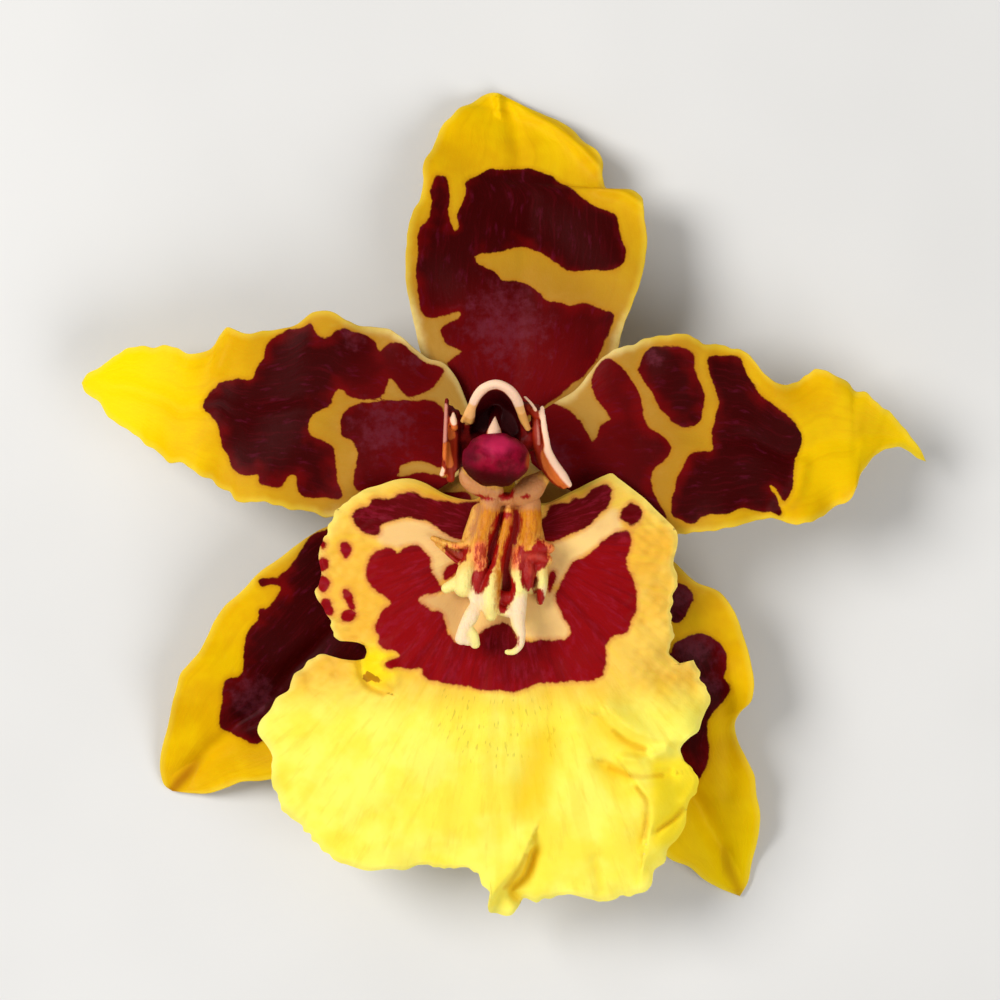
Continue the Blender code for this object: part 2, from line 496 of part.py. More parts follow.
def main():
    clear_scene()
    flower = bpy.data.collections.new("oncidium_orchid")
    cutters = bpy.data.collections.new("cutters")
    bpy.context.scene.collection.children.link(flower)
    bpy.context.scene.collection.children.link(cutters)
    blotched = material("blotched_tepal", (0.62, 0.38, 0.03), 0.45)
    lemon = material("lip_blade", (0.85, 0.66, 0.08), 0.5)
    cream = material("lip_crest", (0.85, 0.6, 0.25), 0.4)
    brick = material("column_flesh", (0.45, 0.12, 0.08), 0.4)
    crimson = material("anther_cap", (0.32, 0.01, 0.06), 0.3)
    wax = material("pollinium", (0.8, 0.55, 0.05), 0.35)
    strap = material("stipe", (0.8, 0.7, 0.5), 0.4)
    green = material("stalk", (0.3, 0.25, 0.08), 0.5)
    add_sepals(blotched, flower)
    add_petals(blotched, flower)
    add_lip(lemon, flower)
    add_crest(cream, flower, cutters)
    add_column(brick, flower)
    add_anther_cap(crimson, flower)
    add_pollinarium(wax, strap, flower)
    add_stalk(green, flower)


main()
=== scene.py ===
"""The look of one bloom of an oncidium-type orchid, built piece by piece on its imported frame.

The sepals, the petals and the lip are sheets of living tissue. Each is a skin worked out from the same
margins and heights as the frame's own part, with the real one's thickness, ripples, veins and markings. The
crest and the column are fleshy, so their skins are melted together from rods. Sizes are millimetres until a
skin is put into its mesh.
"""

import math

import bpy
import numpy as np
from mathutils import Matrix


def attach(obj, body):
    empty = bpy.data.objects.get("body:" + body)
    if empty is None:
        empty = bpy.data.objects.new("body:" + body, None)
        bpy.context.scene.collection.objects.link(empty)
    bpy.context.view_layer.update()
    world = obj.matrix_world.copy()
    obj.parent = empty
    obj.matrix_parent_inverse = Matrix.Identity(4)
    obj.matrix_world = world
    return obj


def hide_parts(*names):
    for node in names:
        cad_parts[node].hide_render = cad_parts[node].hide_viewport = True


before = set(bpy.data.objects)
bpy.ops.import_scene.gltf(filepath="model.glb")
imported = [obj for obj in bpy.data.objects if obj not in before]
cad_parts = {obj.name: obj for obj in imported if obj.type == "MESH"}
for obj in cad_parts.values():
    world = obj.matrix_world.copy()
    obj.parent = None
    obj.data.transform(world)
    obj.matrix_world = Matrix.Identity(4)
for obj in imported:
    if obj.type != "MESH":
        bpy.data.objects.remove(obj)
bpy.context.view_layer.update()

MM = 0.001

# Driving dimensions, in millimetres
SHEET = 0.6  # thickness of a sepal, a petal or the lip at its thickest
SEPAL_LEVEL = 9.0  # height of the middle of each whorl at the hub
PETAL_LEVEL = 10.3
LIP_LEVEL = 12.3
TOUCH = SHEET / 2 + 0.01  # height of a sheet's middle where it rests on the table
HUB = (-0.5, 5.6)  # the column's foot, seen from the front
FAN = (0.0, -3.0)  # where the lip's veins fan out from, under the crest

# The margins of each flat organ, from its foot to its tip, as (x, y)
DORSAL_SEPAL_LEFT = [
    (-2.9, 7.4), (-4.6, 9.2), (-5.9, 11.0), (-6.9, 12.4), (-7.6, 13.4), (-8.0, 14.6), (-8.3, 16.1),
    (-8.8, 18.3), (-9.2, 20.6), (-9.2, 22.9), (-9.0, 25.2), (-8.5, 27.1), (-7.9, 28.1), (-7.6, 29.8),
    (-7.5, 31.7), (-6.9, 32.6), (-6.3, 34.0), (-5.7, 35.3), (-5.0, 35.9), (-4.3, 36.7), (-3.1, 37.2),
    (-2.1, 37.9), (-1.0, 38.2), (-0.3, 38.0), (0.0, 37.6),
]
DORSAL_SEPAL_RIGHT = [
    (1.9, 7.0), (4.3, 7.9), (6.6, 8.9), (8.6, 10.7), (9.9, 12.5), (10.5, 14.3), (11.0, 16.4), (11.8, 18.4),
    (12.6, 20.6), (13.0, 22.6), (13.2, 24.5), (12.9, 26.6), (12.7, 28.3), (11.8, 29.0), (10.5, 29.1),
    (9.4, 29.2), (9.1, 30.2), (9.1, 31.7), (8.5, 32.8), (7.4, 33.5), (6.4, 34.6), (5.1, 35.5), (3.7, 36.1),
    (1.9, 36.9), (0.6, 37.5), (0.0, 37.6),
]
LATERAL_SEPAL_LEFT_OUTER = [
    (-2.5, 4.7), (-4.6, 3.0), (-7.9, 1.3), (-11.6, -0.2), (-14.8, -1.6), (-17.1, -2.5), (-19.0, -3.7),
    (-20.8, -5.1), (-22.8, -6.5), (-24.5, -8.3), (-25.9, -9.5), (-26.9, -10.9), (-27.6, -12.4),
    (-28.3, -13.7), (-29.2, -14.8), (-30.2, -16.0), (-30.5, -17.2), (-30.9, -18.6), (-31.2, -20.1),
    (-31.7, -22.0), (-32.1, -23.6), (-32.1, -25.2), (-31.7, -26.4), (-31.0, -26.9),
]
LATERAL_SEPAL_LEFT_INNER = [
    (-1.4, 3.4), (-1.8, 0.2), (-2.5, -3.9), (-4.0, -8.1), (-6.0, -12.3), (-8.8, -16.4), (-12.0, -20.3),
    (-15.3, -23.1), (-18.5, -24.9), (-21.6, -25.7), (-22.8, -25.9), (-24.5, -26.0), (-25.8, -26.5),
    (-27.6, -27.1), (-29.3, -27.1), (-31.0, -26.9),
]
LATERAL_SEPAL_RIGHT_OUTER = [
    (1.6, 4.7), (4.2, 2.8), (7.9, 0.2), (11.6, -2.5), (14.2, -4.2), (15.8, -5.6), (17.6, -7.3), (19.9, -8.3),
    (21.2, -10.0), (22.1, -12.3), (22.8, -14.8), (23.1, -17.2), (22.8, -18.5), (21.9, -19.4), (21.4, -20.3),
    (21.6, -22.0), (22.4, -23.7), (23.2, -25.4), (23.4, -27.2), (23.7, -28.6), (23.6, -31.0), (23.0, -33.6),
    (22.6, -35.5), (21.9, -36.7),
]
LATERAL_SEPAL_RIGHT_INNER = [
    (0.5, 3.4), (0.6, -0.2), (1.1, -4.9), (2.1, -9.9), (3.7, -15.0), (5.8, -20.1), (8.3, -24.7),
    (11.1, -28.9), (13.9, -31.8), (15.6, -33.3), (17.1, -33.9), (18.5, -35.1), (20.1, -36.0), (21.9, -36.7),
]
PETAL_LEFT_UPPER = [
    (-2.6, 6.8), (-3.6, 9.5), (-4.6, 11.7), (-5.7, 12.9), (-6.8, 13.2), (-7.9, 13.9), (-9.2, 15.0),
    (-10.6, 16.0), (-12.3, 16.2), (-13.9, 16.5), (-15.3, 17.3), (-16.6, 17.7), (-17.9, 17.5), (-19.1, 16.6),
    (-20.8, 16.0), (-22.5, 15.8), (-24.1, 15.6), (-25.1, 16.1), (-25.7, 16.2), (-26.3, 15.6), (-26.9, 14.6),
    (-27.8, 14.0), (-28.7, 13.8), (-29.9, 14.0), (-31.2, 14.6), (-32.4, 14.4), (-33.8, 14.5), (-35.1, 14.2),
    (-36.4, 13.4), (-37.6, 12.5), (-38.8, 11.9), (-39.3, 11.1),
]
PETAL_LEFT_LOWER = [
    (-2.6, 4.4), (-4.6, 2.3), (-6.9, 0.8), (-9.7, -0.2), (-12.5, -0.9), (-14.8, -1.2), (-16.4, -1.3),
    (-17.9, -0.9), (-19.9, -0.6), (-21.2, -0.2), (-22.5, 0.1), (-24.1, 0.0), (-24.9, 0.2), (-25.4, 0.9),
    (-26.5, 1.4), (-27.1, 2.1), (-28.2, 2.5), (-29.1, 3.2), (-30.0, 3.7), (-31.2, 3.7), (-31.9, 4.5),
    (-33.3, 5.4), (-34.7, 6.6), (-36.4, 7.6), (-37.1, 8.4), (-37.6, 9.3), (-38.4, 9.8), (-39.0, 10.3),
    (-39.3, 11.1),
]
PETAL_RIGHT_UPPER = [
    (1.6, 6.8), (3.2, 8.3), (4.7, 9.3), (6.5, 10.4), (7.9, 12.1), (8.8, 13.2), (10.1, 14.1), (12.0, 14.7),
    (13.2, 15.2), (15.1, 15.5), (16.6, 15.5), (17.7, 15.2), (18.3, 14.6), (19.5, 14.7), (20.8, 14.3),
    (22.1, 14.0), (23.0, 13.1), (24.3, 11.6), (25.4, 11.0), (26.5, 11.0), (27.4, 11.4), (28.2, 12.1),
    (29.1, 12.3), (30.8, 11.6), (31.8, 11.1), (32.4, 10.3), (33.0, 10.3), (34.7, 9.1), (36.4, 7.7),
    (37.6, 6.2), (38.6, 4.9), (39.1, 3.8),
]
PETAL_RIGHT_LOWER = [
    (1.6, 4.4), (3.7, 2.6), (6.0, 1.1), (8.8, -0.5), (11.6, -1.8), (13.9, -2.7), (16.2, -3.0), (18.0, -2.7),
    (19.9, -2.5), (21.3, -2.3), (22.7, -1.8), (24.1, -1.5), (25.3, -1.5), (26.1, -2.0), (27.5, -1.9),
    (28.8, -1.6), (29.7, -1.0), (30.8, -0.3), (31.9, 0.2), (32.5, 1.3), (32.9, 2.5), (33.6, 3.5), (34.3, 4.4),
    (35.4, 5.0), (36.4, 5.1), (37.4, 4.8), (38.3, 4.1), (39.1, 3.8),
]
# The margin of the lip, from its claw down its left side and back up its right
LIP_MARGIN = [
    (-0.5, 3.4), (-1.6, 3.4), (-1.7, 1.6), (-2.5, 0.4), (-4.0, 0.3), (-5.3, 0.7), (-6.3, 1.2), (-7.4, 1.8),
    (-8.7, 2.2), (-10.1, 2.1), (-11.6, 1.6), (-13.0, 1.2), (-14.0, 0.6), (-14.9, -0.3), (-15.8, -1.2),
    (-16.5, -2.2), (-16.8, -3.7), (-17.1, -5.3), (-17.1, -6.9), (-17.4, -8.5), (-16.7, -9.9), (-16.2, -11.0),
    (-15.8, -12.3), (-15.2, -12.8), (-14.2, -12.7), (-13.2, -12.9), (-12.9, -13.8), (-13.3, -14.6),
    (-14.4, -14.6), (-15.7, -14.3), (-16.9, -14.0), (-17.9, -14.5), (-18.6, -15.2), (-19.7, -16.0),
    (-20.0, -17.3), (-21.2, -18.1), (-21.7, -19.2), (-22.5, -20.2), (-22.8, -21.2), (-22.3, -22.4),
    (-21.6, -23.8), (-21.5, -25.2), (-21.6, -26.2), (-20.8, -27.6), (-19.9, -29.0), (-19.0, -30.3),
    (-17.6, -31.0), (-17.0, -31.9), (-16.1, -32.8), (-14.7, -33.5), (-12.9, -34.0), (-10.6, -34.0),
    (-9.2, -33.8), (-8.0, -33.4), (-6.5, -33.9), (-5.0, -33.8), (-3.7, -33.8), (-2.7, -34.2), (-2.0, -35.3),
    (-1.2, -36.2), (-1.6, -37.2), (-1.5, -37.9), (-0.5, -38.2), (0.7, -38.0), (1.3, -37.3), (1.7, -36.8),
    (2.6, -36.9), (3.7, -36.5), (5.1, -36.5), (6.8, -36.4), (7.9, -36.6), (8.9, -37.0), (10.6, -36.5),
    (12.5, -36.1), (13.6, -35.4), (13.9, -34.1), (14.7, -33.2), (14.9, -32.1), (16.1, -31.2), (16.6, -29.9),
    (16.7, -28.6), (17.1, -27.6), (17.9, -26.7), (17.9, -25.7), (17.3, -24.7), (16.6, -23.8), (16.4, -22.8),
    (16.6, -22.0), (17.8, -20.9), (18.6, -19.7), (18.9, -18.3), (18.4, -16.7), (17.9, -15.4), (17.0, -14.6),
    (16.4, -15.0), (15.8, -14.6), (15.2, -13.6), (15.6, -12.3), (15.4, -10.9), (15.4, -9.0), (15.9, -7.2),
    (15.7, -5.5), (15.9, -4.0), (15.7, -2.6), (14.9, -1.6), (13.9, -0.7), (12.7, 0.5), (11.6, 1.4),
    (10.5, 2.2), (9.8, 2.7), (9.2, 2.5), (7.9, 1.9), (6.5, 1.2), (5.1, 0.5), (3.8, 0.1), (2.7, 0.1),
    (1.9, 0.4), (1.0, 1.6), (0.6, 3.4), (-0.5, 3.4),
]
LIP_HEART = (-0.3, -17.0)
LIP_EVENING = 4.5  # how far along the margin its teeth and notches are evened out further in

# The maroon blotches, each a closed outline in plan
PETAL_LEFT_BLOTCHES = [
    [(-28, 8.8), (-27.6, 9.7), (-26.8, 10.6), (-26.2, 11.1), (-25, 11.4), (-23.4, 11.5), (-23, 12.3),
     (-22.3, 13.4), (-22.2, 14.3), (-21.6, 15), (-20.8, 15.6), (-19.9, 16), (-18.7, 16.2), (-18, 16.6),
     (-17.6, 16), (-17.1, 15.3), (-16.5, 15.2), (-15.7, 15.8), (-14.8, 16), (-13.9, 15.8), (-12.9, 15.4),
     (-12, 14.9), (-11.6, 14), (-10.9, 14.6), (-10.4, 14.8), (-9.5, 14.6), (-8.6, 13.9), (-7.4, 13),
     (-5.7, 12.5), (-6, 11.5), (-6.7, 10.6), (-7.9, 9.9), (-8.8, 9.7), (-9.4, 10.1), (-10.1, 11),
     (-10.6, 11.5), (-10.8, 10.8), (-11.1, 10.1), (-12, 9.6), (-12.9, 9.5), (-14.2, 9.7), (-14.8, 10.1),
     (-15.3, 10.4), (-15.6, 10.1), (-15.9, 9.7), (-16.2, 9), (-17.1, 8.6), (-17.9, 7.9), (-18.1, 7),
     (-17.9, 6.3), (-17.1, 5.9), (-16.4, 5.6), (-15.8, 4.9), (-15.6, 3.5), (-15.4, 1.9), (-15.1, 0.5),
     (-16.6, 0.4), (-18.5, 0.5), (-19.1, 1.2), (-19.3, 2.4), (-19.8, 2.5), (-20.3, 1.9), (-20.8, 1.4),
     (-21.9, 1.5), (-22.7, 1.7), (-22.8, 2.6), (-23.8, 2.5), (-24.7, 2.6), (-25.3, 3.5), (-25.7, 4.4),
     (-26.2, 5.3), (-26.4, 6.2), (-26.5, 7.2), (-27.3, 8.1)],
    [(-15.3, 7.2), (-14.8, 8.4), (-13.6, 9.1), (-12, 9.3), (-9.9, 9.4), (-7.9, 9.5), (-6.5, 9.3), (-5.7, 8.7),
     (-5.4, 8), (-5.1, 6.7), (-4.9, 4.9), (-4.9, 3.4), (-6, 3.2), (-7.4, 3.7), (-8.6, 3.8), (-9.5, 3.5),
     (-9.7, 2.8), (-9.9, 2.5), (-8.8, 2.6), (-7.4, 2.8), (-6, 2.5), (-4.9, 1.9), (-4.9, -0.2), (-6.9, -1.6),
     (-9.7, -0.9), (-12, 0.2), (-13.7, 1.2), (-14, 2.3), (-13.8, 3.5), (-13.7, 4.7), (-14.3, 5.8),
     (-15.1, 6.2)],
]
DORSAL_SEPAL_BLOTCHES = [
    [(-3.6, 29.8), (-2.3, 30.5), (-1.4, 31), (0, 31), (1.4, 31), (2.6, 31), (3.7, 30.6), (4.8, 30), (6, 29.2),
     (7.1, 28.3), (8.3, 27.5), (9.5, 27.1), (10.2, 26.6), (10.5, 25.7), (10.8, 24.5), (11.3, 23.4),
     (11, 22.2), (10.2, 21.5), (9.2, 21.4), (7.9, 21.6), (6.5, 21.3), (5.5, 21.7), (4.6, 22.2), (3.7, 22.9),
     (2.6, 23.4), (1.4, 23.7), (0.3, 23.4), (-0.9, 23.2), (-2.3, 23), (-3.2, 22.7), (-4.6, 22.2), (-6, 22.2),
     (-6.9, 23.4), (-6, 24.7), (-4.9, 25), (-4.4, 25.6), (-4.5, 26.6), (-4.1, 27.5), (-3.7, 28.9)],
    [(-6.8, 29.8), (-6.3, 30.4), (-5.5, 30.2), (-5.2, 29.4), (-5.1, 28), (-5.1, 26.6), (-4.8, 25.6),
     (-4.2, 24.7), (-3.1, 23.4), (-2.5, 22.2), (-1.4, 21.7), (-0.7, 21.1), (-0.2, 20.6), (0.9, 20.5),
     (2.1, 20.2), (3.1, 19.5), (4, 18.7), (5.1, 18.5), (6, 18.3), (7.4, 18.5), (8.8, 18), (9.9, 17.5),
     (10.1, 17.1), (9.7, 16), (9.2, 14.8), (8.8, 13.6), (7.9, 12.3), (6.5, 11.1), (5.3, 10.1), (4.2, 9.3),
     (2.8, 8.4), (0.9, 7.2), (-1.4, 6.9), (-3.2, 7.6), (-4.6, 9), (-4.9, 10.4), (-5.1, 12.1), (-5.3, 13),
     (-4.5, 13.6), (-4, 13.9), (-4.9, 14.4), (-5.5, 14.9), (-6, 15.9), (-5.4, 16.5), (-4.6, 16.9),
     (-4.2, 17.5), (-5.5, 17.3), (-6.8, 17), (-7.7, 17.6), (-8, 18.7), (-8.2, 20.1), (-8.3, 21.5), (-8, 22.9),
     (-8.1, 24.3), (-7.9, 25.5), (-7.1, 26.3), (-6.9, 27.5), (-6.9, 28.9)],
]
PETAL_RIGHT_BLOTCHES = [
    [(9, 13), (9.3, 13.3), (9.9, 13.2), (10.8, 12.4), (11.7, 11.3), (12.5, 9.9), (12.8, 8.6), (13.2, 7.2),
     (14.2, 6.4), (15, 5.8), (15.4, 5), (14.8, 3.9), (13.9, 3.2), (13.5, 2.1), (13.7, 1), (14.3, -0.2),
     (14.9, -1.6), (13.4, -3), (10.6, -1.6), (7.4, -0.2), (5.1, 1.2), (2.8, 3), (1.9, 5.8), (2.1, 8.1),
     (3.1, 9.5), (4, 9.3), (5.1, 9), (6.2, 8.4), (7.1, 7.3), (7.9, 6), (8.1, 5.7), (8.4, 6.2), (8.8, 7),
     (9.7, 7.7), (9.3, 8.4), (8.8, 9), (8.3, 9.9), (8, 10.9), (8.2, 12.1)],
    [(12.3, 12.1), (12.5, 13), (12.9, 13.8), (13.9, 14.4), (15.3, 14.5), (16.6, 14.3), (17.5, 13.6),
     (17.6, 12.3), (18, 11.1), (18.4, 9.9), (18.3, 8.6), (18, 7.4), (17.1, 6.9), (16.2, 7), (15.3, 7.6),
     (14.3, 8.6), (13.6, 9.9), (12.9, 11)],
    [(18.7, 13), (19.1, 13.6), (20.4, 13.6), (21.6, 13.5), (22.1, 12.6), (22.5, 11.5), (23.4, 10.2),
     (24.5, 9.2), (25.9, 8.4), (26.8, 7.4), (27.4, 6), (27.2, 4.9), (26.8, 3.7), (26.7, 2.3), (26.4, 1),
     (25.8, 0), (25.3, 0.8), (24.9, 1.3), (24.5, 1.6), (24.8, 1), (25.2, 0.2), (25.5, -0.8), (25.3, -1.2),
     (24.5, -0.9), (23.8, -1), (22.7, -0.7), (21.7, -0.6), (20.4, -1.1), (19.1, -1.1), (18.2, -1.4),
     (17.3, -1.9), (16.2, -1.7), (15.5, -1.1), (15.4, 0.2), (15.7, 1.6), (16.2, 3), (16.6, 3.9), (17.4, 4.6),
     (18.5, 4.7), (19.2, 4.9), (19.1, 5.7), (19.1, 6.7), (19.5, 7.9), (19.7, 9.3), (19.3, 10.7), (18.8, 12)],
]
LATERAL_SEPAL_LEFT_BLOTCHES = [
    [(-17.3, -2.7), (-18.2, -3.3), (-18.8, -4.4), (-19.6, -5.5), (-20.4, -6.4), (-21.3, -7), (-22.5, -7),
     (-22.8, -7.4), (-22.5, -7.8), (-21.3, -7.6), (-20.8, -8), (-21.3, -9), (-22, -9.8), (-22.8, -9.9),
     (-22.9, -10.7), (-23.6, -11.6), (-24.1, -12.7), (-24.3, -14.1), (-24.3, -15.3), (-24.7, -16.1),
     (-25.8, -16.4), (-26.2, -17.3), (-26.3, -18.7), (-26.5, -19.9), (-26.4, -20.9), (-25.4, -21.5),
     (-24.5, -22), (-23.4, -22.5), (-22.5, -22.1), (-20.4, -21.5), (-17.1, -19.7), (-13.4, -16.4),
     (-9.7, -12.7), (-6.9, -9), (-4.6, -5.3), (-3.4, -2.1), (-3.2, 0.7), (-5.1, 1), (-7.9, 0.2),
     (-11.6, -1.2), (-14.8, -2)],
]
LATERAL_SEPAL_RIGHT_BLOTCHES = [
    [(15.4, -8.1), (16, -7.4), (16.9, -7.8), (17.5, -8.8), (17.1, -9.8), (16.6, -10.7), (16, -11.2),
     (15.4, -10.9), (13.9, -10.1), (12.5, -9), (12.9, -8.1), (14.3, -8.1)],
    [(15.3, -14.1), (15.7, -13.2), (16.9, -12.4), (18.2, -12.1), (19.4, -12.7), (20.4, -13.8), (20.6, -15.3),
     (20.4, -16.2), (21, -17.3), (20.4, -18.3), (19.5, -19.4), (18.9, -20.3), (18.8, -21.5), (19, -22.9),
     (18.8, -24.3), (18.3, -25.4), (17.9, -25.9), (17.4, -25.2), (16.7, -24.2), (15.4, -23.1), (13.4, -21.5),
     (11.1, -19.7), (8.8, -17.3), (6.9, -14.6), (5.5, -10.9), (4.3, -7.6), (3.2, -4.4), (2.8, -1.6),
     (4, -0.7), (6, -2.5), (8.8, -6.2), (11.1, -9.9), (12.9, -12.7), (14.3, -13.8)],
]
LIP_BLOTCHES = [
    [(-14, -1), (-13.7, -0.5), (-12.7, -0.3), (-12.3, 0.2), (-11.7, 0.4), (-10.6, 0.4), (-9.7, 0.9),
     (-8.3, 1), (-7.4, 0.5), (-6, 0.2), (-4.2, 0), (-2.3, 0.1), (-1.6, -0.5), (-1.8, -1.6), (-2.3, -2.7),
     (-2.8, -3.3), (-3.6, -3.5), (-4.6, -3.3), (-6, -2.6), (-6.9, -1.9), (-7.9, -1.6), (-9.2, -1.4),
     (-10.4, -1.7), (-11.3, -2), (-11.5, -2.7), (-11.9, -3.1), (-12.6, -3), (-13.2, -2.6), (-13.9, -1.8)],
    [(-12.7, -6.1), (-12.4, -5.1), (-11.7, -4.4), (-10.6, -4.2), (-9.9, -4.6), (-9.4, -4.1), (-8.4, -3.9),
     (-7.5, -4.4), (-6.9, -5.3), (-6.8, -6.4), (-6, -7.3), (-5.7, -8.1), (-6.4, -8.4), (-7.3, -8.5),
     (-8, -8.7), (-7.8, -9.2), (-6.9, -9.8), (-6, -10.1), (-5.5, -10.9), (-5.3, -11.8), (-4.7, -12.7),
     (-4, -13), (-2.3, -12), (-0.5, -11.1), (0.5, -11.4), (1.4, -12.7), (3.2, -12.7), (4.9, -12.6),
     (5.7, -12.5), (6, -11.6), (5.4, -10.6), (4.8, -9.5), (4.7, -8.3), (5.1, -7.4), (5.8, -6.4), (6.3, -5.5),
     (7.4, -4.9), (8.5, -4.1), (9.5, -3.2), (10.5, -2.7), (11.4, -2.7), (11.7, -3.7), (11.3, -4.9),
     (11.3, -5.9), (11.8, -6.8), (12.2, -8.3), (12.1, -9.8), (11.7, -11.1), (11.1, -12), (10.1, -12.3),
     (9.4, -13), (9.4, -14.1), (9.2, -15.3), (8.8, -16.1), (7.4, -16.5), (5.1, -16.6), (2.8, -16.8),
     (1.9, -17.2), (0.9, -17.6), (-0.5, -17.4), (-2.3, -17.2), (-4.2, -16.9), (-6, -16.6), (-6.9, -16.4),
     (-7.4, -16), (-7.7, -15.2), (-8.8, -15.4), (-9.9, -15.2), (-10.8, -15.4), (-11.2, -14.8), (-10.5, -14.4),
     (-9.7, -14.2), (-10.1, -13.7), (-11.1, -13.6), (-11.7, -13), (-11.6, -12.4), (-12, -12), (-11.8, -11.1),
     (-11.3, -9.9), (-10.4, -9.3), (-11, -8.7), (-12, -8.1), (-12.6, -7.2)],
    [(3.7, -1.2), (4.2, -0.2), (5.1, 0), (5.8, 0), (6.3, 0.5), (7.1, 0.4), (7.9, 1.2), (9.1, 1.6), (9.7, 1.4),
     (9.9, 0.7), (9.4, -0.4), (8.6, -1.3), (7.4, -2.3), (6, -3), (4.9, -3.5), (4, -3.7), (3.2, -3.5),
     (2.8, -2.4)],
    [(10.7, -1.2), (11.1, -0.4), (11.7, 0), (12.4, -0.5), (12.7, -1.2), (12.3, -1.8), (11.6, -2.1),
     (10.9, -1.7)],
    [(-15.2, -3.9), (-14.6, -3.7), (-14.2, -4.3), (-14.4, -4.9), (-14.8, -5.1)],
    [(-15, -8.1), (-14.3, -8.2), (-13.8, -9.3), (-14, -9.9), (-14.5, -9.6)],
    [(-15.2, -10.5), (-14.6, -9.9), (-13.7, -10.3), (-14.2, -10.9), (-14.9, -11)],
    [(-17.3, -3.7), (-16.7, -3.6), (-16.5, -4), (-16.9, -4.4)],
    [(-17.3, -5.3), (-16.6, -5.1), (-16.3, -5.9), (-16.8, -6.4), (-17.5, -6.2)],
    [(-17.3, -7), (-16.6, -6.8), (-16.1, -7.4), (-16.5, -8.3), (-17.2, -8.1)],
    [(-16.9, -9), (-16.4, -8.8), (-15.8, -9.6), (-15.7, -10.3), (-16.4, -10.6), (-16.9, -9.9)],
    [(-5.4, -5.9), (-4.3, -5.5), (-3.6, -5.9), (-4.6, -6.6), (-5.6, -7.2)],
    [(4.3, -6.2), (4.7, -6.6), (4.4, -7.9), (4.0, -8.3), (3.9, -7.2)],
]
# Where the lip is cream instead of yellow, between the blotches
LIP_PALE = [
    [(-10.2, -2), (-8.3, -1.7), (-6.9, -2.1), (-5.5, -2.8), (-4.2, -3.5), (-3.2, -3.9), (-4, -4.9),
     (-5.1, -5.9), (-6, -7.2), (-6.8, -6.6), (-6.9, -5.3), (-7.5, -4.4), (-8.8, -3.9), (-9.7, -4),
     (-11.1, -3.7), (-11.7, -3.1), (-11.2, -2.4)],
    [(-8.6, -8.8), (-7.4, -8.5), (-6, -8.4), (-3.2, -8.1), (1.4, -8.1), (4.7, -8.3), (5.1, -9.6),
     (5.8, -11.1), (5.9, -12.2), (5.1, -12.7), (2.8, -12.5), (0.5, -11.6), (-1.4, -11.8), (-3.2, -13.2),
     (-4.6, -12.9), (-5.3, -11.3), (-6.2, -10.1), (-7.4, -9.6)],
    [(4.3, -3.9), (6, -3.3), (7.7, -2.4), (9, -1.3), (10.2, -0.9), (10.5, -2.5), (9.2, -3.3), (8, -4.2),
     (6.5, -5.3), (5.5, -6.4), (4.7, -7.6), (4, -6.7), (4.2, -5.3)],
]
# The lip's folds: the line of each in plan, its height, and how wide it is to the left and right of the line
LIP_FOLDS = [
    ([(8.4, -19.8), (10.7, -21.8), (12.9, -22.9)], -0.7, 0.45, 1.1),
    ([(9.6, -19.2), (11.8, -20.9), (14.6, -21.9), (16.6, -22.0)], 0.5, 1.1, 0.4),
    ([(11.0, -23.6), (13.0, -23.6), (14.8, -22.9)], 0.7, 0.5, 0.5),
    ([(9.0, -24.0), (11.6, -25.1), (15.2, -25.0)], -0.6, 0.35, 1.0),
    ([(12.2, -25.9), (13.3, -27.3), (13.6, -29.0), (13.2, -31.2)], 1.0, 2.6, 0.3),
    ([(11.9, -26.5), (12.9, -27.6), (13.1, -29.2), (12.8, -31.2)], -0.35, 0.3, 0.6),
    ([(16.9, -28.2), (15.4, -29.3), (14.1, -30.3)], -0.6, 0.3, 0.45),
    ([(17.4, -26.4), (16.8, -27.8)], 0.4, 0.7, 0.7),
    ([(-13.3, -14.4), (-13.2, -15.6), (-12.6, -16.7), (-11.2, -17.4)], -0.9, 0.9, 0.4),
    ([(-10.9, -14.8), (-10.4, -15.8), (-10.3, -16.6)], 0.5, 0.7, 0.5),
    ([(-18.3, -15.9), (-17.9, -17.2), (-16.2, -18.3)], -0.3, 0.5, 0.5),
    ([(-15.9, -14.5), (-15.6, -16.0)], -0.3, 0.5, 0.5),
    ([(3.5, -22.0), (2.5, -27.0), (1.5, -31.0)], -0.7, 2.4, 2.0),
    ([(2.1, -31.8), (1.4, -33.3), (0.0, -34.7), (-1.2, -36.3), (-1.7, -37.6)], 1.2, 0.4, 1.6),
    ([(2.5, -32.3), (1.8, -34.5), (0.5, -35.9), (1.6, -37.1)], -0.8, 0.6, 0.4),
    ([(8.3, -33.0), (8.6, -34.4), (8.8, -35.8)], -0.35, 0.5, 0.5),
    ([(-11.0, -28.0), (-13.5, -30.0), (-15.6, -31.8)], -0.3, 1.2, 1.2),
]
# Lines, each with its half width: the depths of the creases, where painted shade deepens the colour, and two
# brown tangles, of which the larger lies in the left pocket
LIP_CREASES = [
    ([(10.0, -21.1), (11.2, -22.1), (12.9, -22.8)], 0.4),
    ([(9.6, -24.5), (12.0, -25.3), (14.5, -25.2)], 0.34),
    ([(12.2, -26.3), (12.95, -27.5), (13.1, -29.2), (12.9, -30.9)], 0.32),
    ([(16.4, -28.4), (15.4, -29.4), (14.2, -30.2)], 0.32),
    ([(1.9, -32.6), (1.1, -34.2), (0.0, -35.6)], 0.34),
]
LIP_TANGLE = [([(-12.7, -16.0), (-12.1, -16.4)], 0.7), ([(8.1, -17.4), (8.3, -17.35)], 0.24)]
LIP_POCKET = (-11.8, -15.1)


